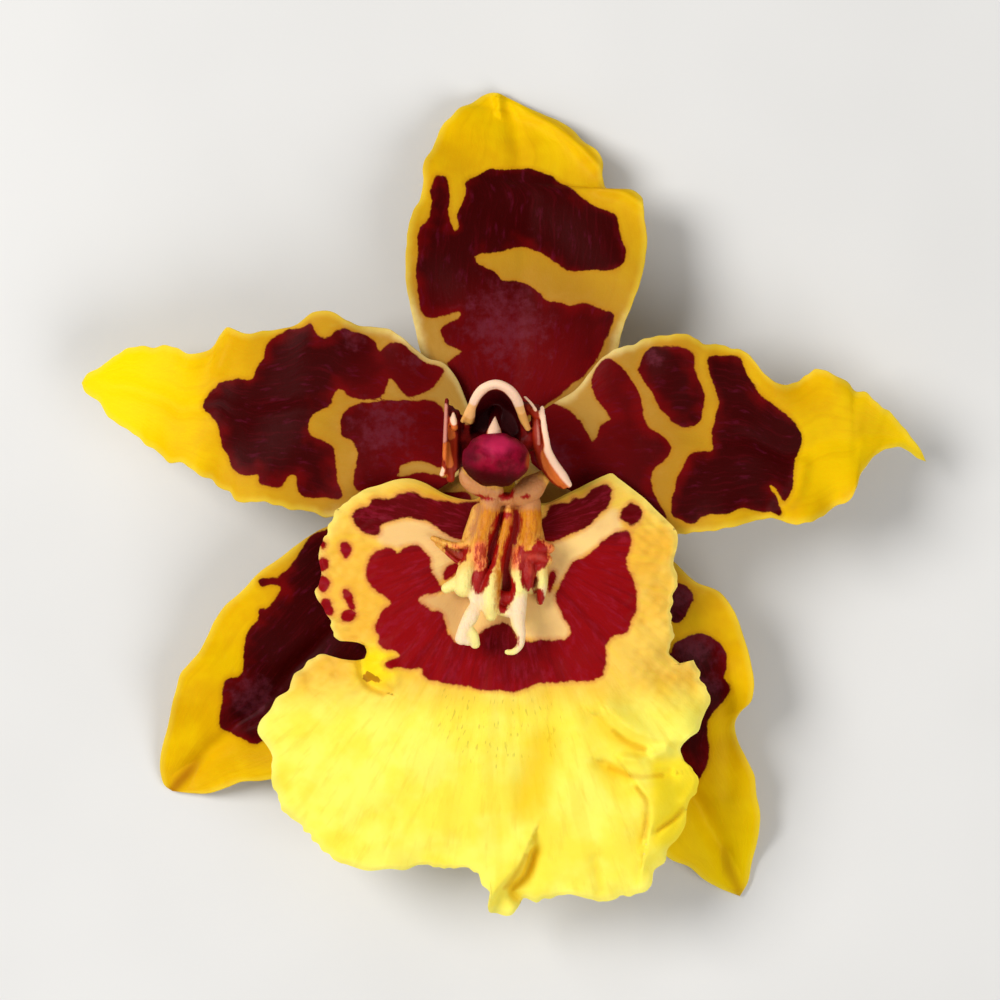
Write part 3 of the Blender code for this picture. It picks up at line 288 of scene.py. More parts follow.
def cubic_through(knots, values, share):
    """Rows of values at these shares, from their rows at the knots: a cubic Hermite between each two knots,
    with the slope at a knot taken from its two neighbours."""
    slopes = np.gradient(values, knots, axis=0)
    i = np.clip(np.searchsorted(knots, share, side="right") - 1, 0, len(knots) - 2)
    step = (knots[i + 1] - knots[i])[:, None]
    t = (share - knots[i])[:, None] / step
    return (
        (1 + 2 * t) * (1 - t) ** 2 * values[i]
        + t * (1 - t) ** 2 * step * slopes[i]
        + t**2 * (3 - 2 * t) * values[i + 1]
        + t**2 * (t - 1) * step * slopes[i + 1]
    )


def curve_through(points, share):
    """Points at these shares of the way along a smooth curve through the given points."""
    points = np.asarray(points, float)
    knots = np.concatenate([[0.0], np.cumsum(np.linalg.norm(np.diff(points, axis=0), axis=1))])
    return cubic_through(knots / knots[-1], points, share)


def value_through(pairs, share):
    """A column of a number that varies smoothly along a piece, from its (share, value) pairs."""
    pairs = np.asarray(pairs, float)
    return cubic_through(pairs[:, 0], pairs[:, 1:], share)


def smooth_step(value, low, high):
    """0 below low and 1 above high, rising between them by the cubic that is level at both ends."""
    t = np.clip((value - low) / (high - low), 0.0, 1.0)
    return t * t * (3 - 2 * t)


def waves(x, y, length, seed, count=7):
    """Gentle unevenness of about -1 to 1: the sum of plane waves of about that length, in seeded
    directions."""
    pick = np.random.default_rng(seed)
    turn, phase = pick.uniform(0.0, 2 * math.pi, (2, count))
    rate = 2 * math.pi / (length * pick.uniform(0.7, 1.5, count))
    return sum(
        np.sin(r * (x * math.cos(a) + y * math.sin(a)) + p) for a, p, r in zip(turn, phase, rate)
    ) / math.sqrt(2 * count) * 1.3


def closed_line(points, steps=6):
    """A smooth closed line through the points: on each stretch, the cubic whose slope at a point is half the
    way between its neighbours."""
    points = np.asarray(points, float)
    before, after, beyond = np.roll(points, 1, 0), np.roll(points, -1, 0), np.roll(points, -2, 0)
    t = np.arange(steps)[None, :, None] / steps
    before, points, after, beyond = (p[:, None] for p in (before, points, after, beyond))
    bend = 2 * before - 5 * points + 4 * after - beyond
    twist = 3 * points - before - 3 * after + beyond
    line = points + 0.5 * t * (after - before + t * (bend + t * twist))
    return line.reshape(-1, 2)


def to_stretches(places, start, step):
    """The vectors to each point from the start of each straight stretch of a line, and from its nearest
    place."""
    off = places[:, None] - start
    t = np.clip((off * step).sum(-1) / (step**2).sum(-1), 0.0, 1.0)
    return off, off - t[..., None] * step


def depth_inside(outlines, places):
    """How far each plan point lies inside the outlines, in millimetres, and below 0 outside them: its
    distance to the nearest stretch of the line, and inside where a ray from the point crosses the line an odd
    number of times."""
    deepest = np.full(len(places), -50.0)
    for outline in outlines:
        start = closed_line(outline)
        end = np.roll(start, -1, 0)
        step = end - start
        for part in np.array_split(np.arange(len(places)), 1 + len(places) // 3000):
            off, gap = to_stretches(places[part], start, step)
            away = np.linalg.norm(gap, axis=-1).min(1)
            y = places[part][:, 1:]
            spans = (start[:, 1] > y) != (end[:, 1] > y)
            slope = step[:, 0] / np.where(step[:, 1] == 0.0, 1e-9, step[:, 1])
            crossings = (spans & (off[..., 0] < off[..., 1] * slope)).sum(1)
            deepest[part] = np.maximum(deepest[part], np.where(crossings % 2 == 1, away, -away))
    return deepest


def off_line(places, path):
    """Each plan point's distance from a smooth line through the path, and whether it is on its left, 1, or
    its right, -1."""
    line = curve_through(path, np.linspace(0.0, 1.0, 6 * len(path)))
    step = np.diff(line, axis=0)
    gap = to_stretches(places, line[:-1], step)[1]
    away = np.linalg.norm(gap, axis=-1)
    nearest = away.argmin(1)
    rows = np.arange(len(places))
    side = step[nearest, 0] * gap[rows, nearest, 1] - step[nearest, 1] * gap[rows, nearest, 0]
    return away[rows, nearest], np.sign(side)


def relief_of(folds, places):
    """How far the folds raise each plan point: the sum of each fold's height times a bell curve of the
    distance from its line, which may be narrower on one side of the line than on the other."""
    relief = np.zeros(len(places))
    for path, height, left, right in folds:
        away, side = off_line(places, path)
        relief += height * np.exp(-((away / np.where(side > 0, left, right)) ** 2))
    return relief


def skin(name, sets):
    """A mesh from sets of rings, each an array (rings, points in a ring, 3) in millimetres. The rings of a
    set are joined in turn by quads, and each end is closed by a fan to its mean point. Faces are turned
    outwards: the sum of the volumes between each face and the origin is made positive."""
    points, faces, total = [], [], 0
    for rings in sets:
        rows, columns = rings.shape[:2]
        index = total + np.arange(rows * columns).reshape(rows, columns)
        after = np.roll(index, -1, axis=1)
        quads = np.stack([index[:-1], after[:-1], after[1:], index[1:]], axis=-1).reshape(-1, 4)
        first, last = total + rows * columns, total + rows * columns + 1
        fans = np.concatenate([
            np.stack([after[0], index[0], np.full(columns, first)], axis=-1),
            np.stack([index[-1], after[-1], np.full(columns, last)], axis=-1),
        ])
        body = np.concatenate([rings.reshape(-1, 3), rings[[0, -1]].mean(axis=1)])
        triangles = np.concatenate([quads[:, :3], quads[:, [0, 2, 3]], fans]) - total
        a, b, c = (body[triangles[:, k]] for k in range(3))
        if (a * np.cross(b, c)).sum() < 0:
            quads, fans = quads[:, ::-1], fans[:, ::-1]
        points.append(body)
        faces += quads.tolist() + fans.tolist()
        total += len(body)
    mesh = bpy.data.meshes.new(name)
    mesh.from_pydata((np.concatenate(points) * MM).tolist(), [], faces)
    mesh.shade_smooth()
    return mesh


def melted(name, sets, grain, rounds):
    """One skin over overlapping closed skins: their inside is filled with cubes of that grain, and the
    outside of the cubes is smoothed, each point moved half way to the mean of its neighbours that many
    times."""
    rough = bpy.data.objects.new(name, skin(name, sets))
    bpy.context.scene.collection.objects.link(rough)
    fill = rough.modifiers.new("fill", "REMESH")
    fill.mode = "VOXEL"
    fill.voxel_size = grain * MM
    soften = rough.modifiers.new("soften", "SMOOTH")
    soften.factor = 0.5
    soften.iterations = rounds
    bpy.context.view_layer.update()
    mesh = bpy.data.meshes.new_from_object(rough.evaluated_get(bpy.context.evaluated_depsgraph_get()))
    bpy.data.objects.remove(rough)
    mesh.shade_smooth()
    mesh.name = name
    return mesh


def places_of(mesh):
    """The mesh's points, in millimetres."""
    flat = np.empty(3 * len(mesh.vertices), np.float32)
    mesh.vertices.foreach_get("co", flat)
    return flat.reshape(-1, 3).astype(float) / MM


def mark(mesh, name, values):
    """Stores a number, or three, for each point of the mesh, for its material to read. A skin's two end
    points take the first and the last of the others' values."""
    values = np.asarray(values, np.float32)
    missing = len(mesh.vertices) - len(values)
    if missing:
        values = np.concatenate([values, values[[0, -1]]])
    kind, field = ("FLOAT_VECTOR", "vector") if values.ndim == 2 else ("FLOAT", "value")
    mesh.attributes.new(name, kind, "POINT").data.foreach_set(field, values.ravel())


def mark_rings(mesh, shape, marks):
    """Stores each of the named marks, spread over the skin's rings, which have this shape."""
    for name, values in marks.items():
        mark(mesh, name, np.broadcast_to(values, shape).ravel())


def stand_for(node, mesh, finish):
    """The finished piece: it rides on the frame, and stands for its node."""
    made = bpy.data.objects.new(node + "_bloom", mesh)
    bpy.context.scene.collection.objects.link(made)
    made.data.materials.append(finish)
    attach(made, "root")
    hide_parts(node)


# Each sepal and petal: its margins, its blotches, the height of its midrib, how far its sides rise, how deep
# the groove over its midrib is at its foot and tip, how far its margin ripples, how much its tip is
# brightened, partly its own gold and partly painted light, how brown its midrib turns at the tip, partly its
# own brown and partly painted shade in the groove, its spots of painted lilac sheen as (x, y, half width),
# and its folds, given as the lip's are
LATERAL_SEPAL = dict(
    heights=[(0, SEPAL_LEVEL), (0.12, 9.0), (0.35, 7.9), (0.6, 5.4), (0.82, 2.2), (0.96, TOUCH), (1, 0.5)],
    cup=[(0, 0), (0.2, 0.0), (0.5, 0.5), (0.8, 1.4), (1, 0)], groove=(0.1, 0.9), ripple=0.3,
)
PETAL = dict(
    cup=[(0, 0), (0.2, 0.0), (0.5, 0.4), (0.8, 0.6), (1, 0)], groove=(0.2, 0.3), ripple=0.55, brown=0.0,
)
TEPALS = {
    "dorsal_sepal": dict(
        near=DORSAL_SEPAL_LEFT, far=DORSAL_SEPAL_RIGHT, blotches=DORSAL_SEPAL_BLOTCHES,
        heights=[
            (0, SEPAL_LEVEL), (0.15, 9.0), (0.4, 7.6), (0.65, 4.4), (0.86, 1.05), (0.94, TOUCH - 0.05),
            (1, 0.5),
        ],
        cup=[(0, 0), (0.2, 0.1), (0.5, 0.9), (0.8, 1.1), (1, 0)], groove=(0.15, 0.2), ripple=0.35, seed=11,
        tip_gold_and_light=0.25, brown=0.0, sheen=[(0.0, 16.2, 4.8)],
        folds=[
            ([(-0.7, 37.9), (-0.5, 36.4)], 0.7, 0.5, 0.35),
            ([(-0.3, 37.6), (2.3, 36.3), (5.6, 34.3), (8.7, 31.2)], 0.6, 0.45, 0.7),
            ([(8.8, 29.2), (11.0, 28.7), (12.7, 27.6)], 0.5, 0.4, 0.6),
            ([(0.9, 35.6), (1.2, 33.5), (1.4, 31.5)], -0.35, 0.9, 0.9),
        ],
    ),
    "lateral_sepal_left": dict(
        LATERAL_SEPAL, near=LATERAL_SEPAL_LEFT_OUTER, far=LATERAL_SEPAL_LEFT_INNER,
        blotches=LATERAL_SEPAL_LEFT_BLOTCHES, seed=23, tip_gold_and_light=0.2, brown=0.7, sheen=[(-23.5, -18.0, 2.5)],
        folds=[([(-22.5, -20.8), (-26.4, -21.6)], 0.3, 0.8, 0.8)],
    ),
    "lateral_sepal_right": dict(
        LATERAL_SEPAL, near=LATERAL_SEPAL_RIGHT_OUTER, far=LATERAL_SEPAL_RIGHT_INNER,
        blotches=LATERAL_SEPAL_RIGHT_BLOTCHES, seed=37, tip_gold_and_light=0.6, brown=0.5,
        sheen=[(19.0, -17.0, 1.5), (17.6, -13.0, 3.0), (16.2, -8.8, 2.0)],
        folds=[([(19.0, -14.0), (20.7, -20.0), (20.9, -27.0)], -0.3, 1.0, 1.0)],
    ),
    "petal_left": dict(
        PETAL, near=PETAL_LEFT_UPPER, far=PETAL_LEFT_LOWER, blotches=PETAL_LEFT_BLOTCHES, seed=41, tip_gold_and_light=0.9,
        heights=[(0, PETAL_LEVEL), (0.12, 10.3), (0.35, 10.6), (0.6, 9.6), (0.8, 7.6), (1, 5.2)],
        sheen=[(-11.0, 6.8, 3.6), (-14.2, 15.2, 1.3), (-8.4, 13.0, 1.2)],
        folds=[([(-25.4, 15.4), (-26.4, 12.6)], 0.35, 0.8, 0.8)],
    ),
    "petal_right": dict(
        PETAL, near=PETAL_RIGHT_UPPER, far=PETAL_RIGHT_LOWER, blotches=PETAL_RIGHT_BLOTCHES, seed=53,
        tip_gold_and_light=0.5,
        heights=[(0, PETAL_LEVEL), (0.12, 10.3), (0.35, 10.6), (0.6, 9.8), (0.8, 8.0), (1, 4.6)],
        sheen=[(13.6, 13.2, 1.1), (4.5, 4.0, 2.5)],
        folds=[
            ([(24.9, -1.0), (26.6, 0.4), (27.6, 3.4)], 0.45, 0.7, 0.7),
            ([(18.7, 14.0), (18.9, 10.0)], 0.3, 0.9, 0.9),
        ],
    ),
}
TEPAL_RINGS = 176
TEPAL_ROUND = 232
MIDRIB_HALF = 0.9  # half width of the groove over a midrib
RIPPLE_LENGTH = 6.3  # from one ripple of a margin to the next
NOTCH_LENGTH = 1.5  # of the small unevenness of a margin in plan


def add_tepal(node, shape, finish):
    """A sepal or petal: rings of a lens-shaped section, from its foot to its tip.

    A point of a ring is across = cos(turn) of the way from the midrib to a margin, on the straight line
    between the margins in plan. Its height is the midrib's, plus the cup's rise with |across| to the power
    1.7, less a groove that is a bell curve over the midrib, plus ripples that grow with |across| cubed. It
    stands half the thickness above or below that, by the square root of |sin(turn)|, and the thickness tapers
    off at the tip."""
    share = 1 - (1 - np.linspace(0.0, 1.0, TEPAL_RINGS)) ** 1.3
    turn = 2 * math.pi * np.arange(TEPAL_ROUND) / TEPAL_ROUND
    across, side = np.cos(turn), np.sin(turn)
    edge = np.abs(across)
    near, far = curve_through(shape["near"], share), curve_through(shape["far"], share)
    outward = (far - near) / np.maximum(np.linalg.norm(far - near, axis=1), 0.1)[:, None]
    notches = smooth_step(share, 0.1, 0.3) * smooth_step(1 - share, 0.02, 0.1)
    notches = 0.25 * (shape["ripple"] - 0.25) * notches
    near_notches, far_notches = (
        (notches * waves(line[:, 0], line[:, 1], NOTCH_LENGTH, shape["seed"] + k, 14))[:, None]
        for k, line in ((1, near), (2, far))
    )
    near = (near - outward * near_notches)[:, None]
    far = (far + outward * far_notches)[:, None]
    plan = near * (1 - across[:, None]) / 2 + far * (1 + across[:, None]) / 2
    half = np.linalg.norm(far - near, axis=-1) / 2
    length = np.linalg.norm(np.diff((near + far)[:, 0] / 2, axis=0), axis=1).sum()
    share = share[:, None]
    down = share * length
    to_tip = 1 - share
    rise = value_through(shape["heights"], share[:, 0]) + value_through(shape["cup"], share[:, 0]) * edge**1.7
    groove = np.interp(share, [0.0, 1.0], shape["groove"]) * smooth_step(share, 0.0, 0.1)
    rise = rise - groove * np.exp(-((across * half / MIDRIB_HALF) ** 2)) * smooth_step(to_tip, 0.0, 0.12)
    sway = 1.7 * np.sign(across) + 0.8 * np.sin(down / 2.9 + shape["seed"])
    beat = np.sin(down * 2 * math.pi / RIPPLE_LENGTH + sway)
    free = smooth_step(share, 0.1, 0.4) * smooth_step(to_tip, 0.0, 0.2)
    rise = rise + shape["ripple"] * edge**3 * beat * free
    rise = rise + 0.16 * free * waves(plan[..., 0], plan[..., 1], 7.0, shape["seed"])
    flat = plan.reshape(-1, 2)
    rise = rise + relief_of(shape["folds"], flat).reshape(rise.shape) * smooth_step(to_tip, 0.0, 0.02)
    wall = SHEET / 2 * np.sqrt(np.maximum(1 - share**9, 0.0)) * np.sign(side) * np.abs(side) ** 0.5
    height = np.maximum(rise, TOUCH) + wall
    mesh = skin(node, [np.dstack([plan, height])])
    rim = (1 - edge) * half
    from_hub = np.linalg.norm(plan - HUB, axis=-1)
    spots = [np.hypot(plan[..., 0] - u, plan[..., 1] - v) / reach for u, v, reach in shape["sheen"]]
    rib = np.exp(-((across * half / 0.7) ** 2)) * smooth_step(share, 0.8, 0.93)
    mark(mesh, "blotch", depth_inside(shape["blotches"], flat))
    mark_rings(mesh, height.shape, {
        "hub": from_hub,
        "sheen": np.exp(-np.min(spots, axis=0) ** 2),
        "rim": rim,
        "blanch": np.exp(-((rim / 0.9) ** 2)) * (1 - smooth_step(from_hub, 10.0, 22.0)),
        "back": side < 0,
        # the tips brightened: partly their own gold, partly painted light
        "tip_gold_and_light": shape["tip_gold_and_light"] * smooth_step(share, 0.55, 0.95),
        # the midrib's brown at the tip: partly its own colour, partly painted shade in the groove
        "brown": shape["brown"] * rib,
    })
    grain = np.stack(np.broadcast_arrays(down, 10 * across, np.zeros_like(height)), axis=-1)
    mark(mesh, "grain", grain.reshape(-1, 3))
    stand_for(node, mesh, finish)


LIP_ROUND = 560
LIP_PROFILE = (128, 26)  # rings from the heart to the margin over the face, and back to it behind
LIP_EVENED = 0.75  # share of those rings that keep to the evened margin
LIP_INNER = 0.85  # how much of the way to the evened margin they go
LIP_WALL = [(0.0, SHEET / 2), (0.7, 0.28), (0.97, 0.16), (1.0, 0.0)]  # half its thickness, outwards


def lip_plan(along, out):
    """Plan points of the lip for each along, round its margin, and out, 0 at the heart to 1 on the margin.
    Near the margin the rings follow its teeth and notches. Further in they follow the margin evened out: the
    mean of its points, weighted by a bell curve of the distance along it."""
    margin = curve_through(LIP_MARGIN, along)
    round_it = np.linspace(0.0, 1.0, 400, endpoint=False)
    length = np.linalg.norm(np.diff(np.array(LIP_MARGIN), axis=0), axis=1).sum()
    apart = np.abs(along[:, None] - round_it)
    apart = np.minimum(apart, 1 - apart) * length
    weight = np.exp(-((apart / LIP_EVENING) ** 2))
    evened = weight @ curve_through(LIP_MARGIN, round_it) / weight.sum(axis=1)[:, None]
    heart = np.array(LIP_HEART)
    outward = (margin - heart) / np.linalg.norm(margin - heart, axis=1)[:, None]
    run = along * length
    beat = 0.15 * waves(run, 0 * run, 1.1, 5, 16) * smooth_step(waves(run, 0 * run, 9.0, 15), -0.6, 0.6)
    beat = (beat + 0.16 * waves(run, 0 * run, 3.1, 6)) * smooth_step(-margin[:, 1], -2.0, 1.0)
    margin = margin + outward * beat[:, None]
    out = out[:, None, None]
    inner = heart + LIP_INNER * (evened - heart) * np.minimum(out / LIP_EVENED, 1.0)
    return inner + (margin - inner) * np.maximum((out - LIP_EVENED) / (1 - LIP_EVENED), 0.0)


def lip_height(x, y, edge):
    """Height of the lip's middle: level under the crest, drooping as the square of the distance below and
    beside it, with waves round its margin."""
    down = 0.0055 * np.maximum(-y - 13.0, 0.0) ** 2
    sideways = (0.004 + 0.008 * smooth_step(-y, 2.0, 14.0)) * np.maximum(np.abs(x) - 6.0, 0.0) ** 2
    turn = np.arctan2(y + 12.0, x)
    ripple = 0.5 * np.sin(11 * turn + 0.7) * smooth_step(edge, 0.6, 1.0)
    return LIP_LEVEL - down - sideways + ripple * smooth_step(-y, 4.0, 16.0)


def add_lip(finish):
    """The lip: rings round its heart, out over its face to the margin and back behind it.

    Its height is the plain droop plus each fold's bell curve across its line, pleats that follow the veins,
    and small crumples on its side lobes. The face and the back stand apart by the thickness, which thins
    towards the margin."""
    face, behind = LIP_PROFILE
    out = np.concatenate([np.linspace(0.004, 1.0, face), np.linspace(1.0, 0.004, behind)])
    top = np.concatenate([np.ones(face), -np.ones(behind)])[:, None]
    plan = lip_plan(np.arange(LIP_ROUND) / LIP_ROUND, out)
    x, y = plan[..., 0], plan[..., 1]
    flat = plan.reshape(-1, 2)
    edge = np.broadcast_to(out[:, None], x.shape)
    relief = relief_of(LIP_FOLDS, flat).reshape(x.shape)
    turn = np.arctan2(y - FAN[1], x - FAN[0])
    reach = np.hypot(x - FAN[0], y - FAN[1])
    fan_x, fan_y = 15 * np.cos(turn), 15 * np.sin(turn)
    low = smooth_step(-y, 14.0, 22.0)
    pleats = waves(fan_x, fan_y, 2.3, 3) * 0.10 * smooth_step(reach, 8.0, 18.0)
    crumples = waves(x, 1.5 * y, 1.2, 8, 24) * 0.07 + waves(x, 1.5 * y, 2.4, 18, 16) * 0.07
    crumples = crumples * smooth_step(np.abs(x), 10.0, 13.0) * (1 - low)
    bulges = waves(x, y, 6.0, 9) * 0.22 * smooth_step(reach, 8.0, 16.0)
    flutter = waves(x, y, 3.2, 14) * 0.28 * smooth_step(edge, 0.8, 1.0) * smooth_step(-y, 2.0, 8.0)
    wall = np.interp(out, *zip(*LIP_WALL))[:, None]
    height = lip_height(x, y, edge) + relief + pleats + crumples + bulges + flutter
    mesh = skin("lip", [np.dstack([x, y, height + wall * top])])
    mark(mesh, "blotch", depth_inside(LIP_BLOTCHES, flat))
    mark(mesh, "pale", depth_inside(LIP_PALE, flat))
    for name, lines in (("line", LIP_CREASES), ("tangle", LIP_TANGLE)):
        near = [np.exp(-((off_line(flat, path)[0] / half) ** 2)) for path, half in lines]
        mark(mesh, name, np.max(near, axis=0))
    # where the folds and crumples sink, the colour is deepened by painted shade
    hollow = np.clip(-relief - 1.2 * crumples - 0.3 * bulges, 0.0, 2.0)
    middle = 1 - smooth_step(np.abs(x), 5.0, 12.0)
    mark_rings(mesh, x.shape, {
        "low": low,
        "edge": edge,
        "hollow": hollow * low,
        "crease": hollow * (1 - low),
        "shade": smooth_step(y, -5.0, -2.0) + np.exp(-(((x + 0.3) / 4.5) ** 2) - ((y + 12.5) / 3.5) ** 2),
        "claw": smooth_step(y, -1.5, 0.5) * (1 - smooth_step(np.abs(x), 5.0, 13.0)),
        "streaky": smooth_step(reach, 13.0, 15.5) * (1 - smooth_step(reach, 20.0, 27.0)) * middle,
        # the right frills: partly their own deep yellow, partly painted light on their shaded slopes
        "frill": smooth_step(x, 12.6, 14.4) * smooth_step(-y, 22.5, 24.5) * (1 - smooth_step(-y, 31.0, 33.0)),
        "pocket": np.exp(-(np.hypot(x - LIP_POCKET[0], y - LIP_POCKET[1]) / 2.3) ** 2),
        # painted shade on the cream to the left of the crest, from 7 mm down
        "shade_left_of_crest": smooth_step(-x, 1.0, 5.0) * smooth_step(-y, 6.5, 8.5),
        "back": top < 0,
    })
    mark(mesh, "grain", np.stack([fan_x, fan_y, reach], axis=-1).reshape(-1, 3))
    stand_for("lip", mesh, finish)


ROD_STEPS = 9  # rings of a rod for each point of its path
ROD_ROUND = 22
ROD_END = np.radians([90, 75, 60, 45, 30, 15])  # rings of the half ball at its end, by angle


def directions(middle, up):
    """Unit vectors along a curve, beside it and above it, the last as near to up as it can be."""
    ahead = np.gradient(middle, axis=0)
    ahead /= np.linalg.norm(ahead, axis=1)[:, None]
    beside = np.cross(ahead, up)
    beside /= np.linalg.norm(beside, axis=1)[:, None]
    return ahead, beside, np.cross(beside, ahead)


def rod(path, radii, tall=1.0, up=(0.0, 0.0, 1.0)):
    """Rings round a smooth curve through the path, closed by half balls. radii are half widths at its points,
    and tall the half height as a share of the half width. A ring lies across the curve, with its height as
    near to up as it can be."""
    rail = curve_through(np.column_stack([path, radii]), np.linspace(0.0, 1.0, ROD_STEPS * len(path)))
    middle, half = rail[:, :3], rail[:, 3]
    ahead, beside, above = directions(middle, up)
    rounding = ROD_END[:, None]
    before = middle[0] - ahead[0] * half[0] * np.sin(rounding)
    beyond = middle[-1] + ahead[-1] * half[-1] * np.sin(rounding[::-1])
    middle = np.concatenate([before, middle, beyond])
    half = np.concatenate([half[0] * np.cos(ROD_END), half, half[-1] * np.cos(ROD_END[::-1])])
    extra = len(ROD_END)
    beside, above = (
        np.concatenate([np.repeat(way[:1], extra, 0), way, np.repeat(way[-1:], extra, 0)])[:, None]
        for way in (beside, above)
    )
    turn = 2 * math.pi * np.arange(ROD_ROUND)[:, None] / ROD_ROUND
    ring = beside * np.cos(turn) + above * np.sin(turn) * tall
    return middle[:, None] + ring * np.maximum(half, 0.01)[:, None, None]


# The crest's collars, ridges, teeth and fingers: the path of each as (x, y, z), its half width along it, and
# its half height as a share of that
CREST_RODS = {
    "collar_left": (
        [(-4.0, 3.3, 15.4), (-3.5, 2.2, 15.4), (-2.5, 1.5, 15.3), (-0.9, 1.1, 15.0)],
        [0.28, 0.75, 0.9, 0.8], 1.0
    ),
    "collar_right": ([(3.4, 2.2, 15.2), (2.5, 1.4, 15.3), (1.6, 0.7, 14.9)], [0.75, 1.2, 1.1], 1.0),
    "throat": ([(-1.6, 0.4, 14.1), (0.4, 0.3, 14.1), (2.0, 0.3, 14.2)], [0.7, 0.6, 0.7], 1.6),
    "ridge_left": (
        [(-1.3, 0.2, 14.2), (-1.6, -1.6, 14.1), (-2.2, -3.3, 14.0), (-2.6, -4.9, 14.1)],
        [1.0, 0.95, 0.95, 0.9], 1.4
    ),
    "ridge_left_flank": (
        [(-2.1, -0.4, 13.5), (-2.5, -1.8, 13.4), (-2.9, -3.2, 13.4), (-3.4, -4.4, 13.5)],
        [0.4, 0.4, 0.4, 0.5], 1.5
    ),
    "lobe_left": ([(-3.0, -4.9, 14.1), (-3.6, -6.4, 14.5), (-3.85, -7.9, 14.6)], [0.75, 0.85, 0.85], 1.2),
    "blob_left": ([(-2.1, -5.4, 14.2), (-2.4, -6.8, 14.5), (-2.6, -8.0, 14.5)], [0.6, 0.7, 0.6], 1.2),
    "tooth_left": ([(-3.7, -6.9, 14.3), (-4.6, -7.5, 14.3), (-5.4, -7.9, 14.2)], [0.7, 0.6, 0.5], 1.0),
    "finger_left": (
        [(-2.9, -8.0, 14.6), (-2.7, -9.3, 14.9), (-3.1, -10.4, 15.2), (-3.7, -11.5, 15.4),
         (-4.0, -12.5, 15.4)],
        [0.75, 0.55, 0.72, 0.6, 0.62], 0.8,
    ),
    "finger_left_middle": ([(-3.6, -11.2, 15.4), (-3.45, -12.7, 15.3)], [0.5, 0.5], 0.8),
    "finger_left_toe": ([(-3.4, -11.5, 15.4), (-2.9, -12.3, 15.3), (-2.75, -13.0, 15.1)],
                        [0.45, 0.5, 0.48], 0.8),
    "ridge_middle": (
        [(0.3, -0.8, 14.0), (0.1, -2.5, 14.1), (-0.4, -4.4, 14.2), (-0.8, -6.2, 14.4), (-1.3, -8.1, 14.7),
         (-1.4, -9.4, 14.8), (-1.3, -10.4, 14.7)],
        [0.45, 0.5, 0.5, 0.65, 0.95, 0.9, 0.55], 1.5,
    ),
    "ridge_right": (
        [(2.3, 0.0, 14.1), (2.4, -1.6, 14.1), (2.2, -3.5, 14.1), (1.5, -5.0, 14.3), (1.2, -6.7, 14.5),
         (1.4, -8.1, 14.8)],
        [1.0, 1.0, 0.95, 0.75, 0.7, 0.7], 1.4,
    ),
    "finger_right": (
        [(1.3, -8.2, 14.8), (1.2, -9.8, 15.0), (1.2, -11.0, 15.3), (1.45, -12.2, 15.5), (1.35, -13.2, 15.6),
         (0.7, -13.75, 15.6), (0.2, -13.75, 15.5)],
        [0.8, 0.78, 0.68, 0.46, 0.34, 0.3, 0.26], 0.9,
    ),
    "web": ([(-0.9, -9.7, 14.6), (0.1, -10.1, 14.6), (1.0, -10.2, 14.9)], [0.6, 0.45, 0.6], 1.3),
    "web_high": ([(-0.7, -8.7, 14.3), (0.6, -8.9, 14.4)], [0.7, 0.7], 1.0),
    "bump_right": ([(2.2, -4.2, 14.5), (3.3, -4.1, 14.7), (4.1, -4.2, 14.6)], [0.8, 0.75, 0.5], 1.3),
    "bump_right_low": ([(2.8, -4.9, 14.3), (3.9, -5.3, 14.3)], [0.8, 0.5], 1.3),
    "point_right": ([(2.1, -5.6, 14.4), (2.15, -6.8, 14.6), (2.15, -7.8, 14.6)], [0.65, 0.6, 0.38], 1.3),
    "spur_right": ([(3.3, -5.8, 14.1), (3.4, -7.4, 13.9), (3.25, -9.1, 13.4)], [0.6, 0.55, 0.36], 1.3),
    "flange_left": (
        [(-6.6, -3.3, 13.1), (-5.55, -3.75, 13.6), (-4.5, -4.0, 13.9), (-3.6, -3.8, 13.9),
         (-2.9, -3.2, 13.9)],
        [0.28, 0.34, 0.36, 0.36, 0.4], 1.5,
    ),
    "flange_left_fold": (
        [(-6.3, -3.8, 13.0), (-5.4, -4.6, 13.2), (-4.6, -5.3, 13.4), (-3.7, -5.8, 13.7)],
        [0.18, 0.2, 0.22, 0.3], 1.5
    ),
    "flange_left_web": ([(-5.5, -4.2, 12.9), (-4.6, -4.7, 13.0), (-3.6, -4.9, 13.2)], [0.35, 0.55, 0.7], 0.5),
    "bed_left": ([(-2.2, -1.0, 13.1), (-2.9, -4.5, 13.1), (-3.3, -8.0, 13.0)], [1.0, 1.3, 0.8], 0.6),
    "bed_middle": ([(0.2, -1.0, 13.1), (-0.3, -5.0, 13.1), (-0.4, -9.0, 13.0)], [2.0, 2.2, 1.4], 0.35),
    "bed_right": ([(2.2, -1.0, 13.1), (2.2, -4.5, 13.1), (2.4, -7.5, 13.0)], [1.0, 1.6, 1.0], 0.6),
}
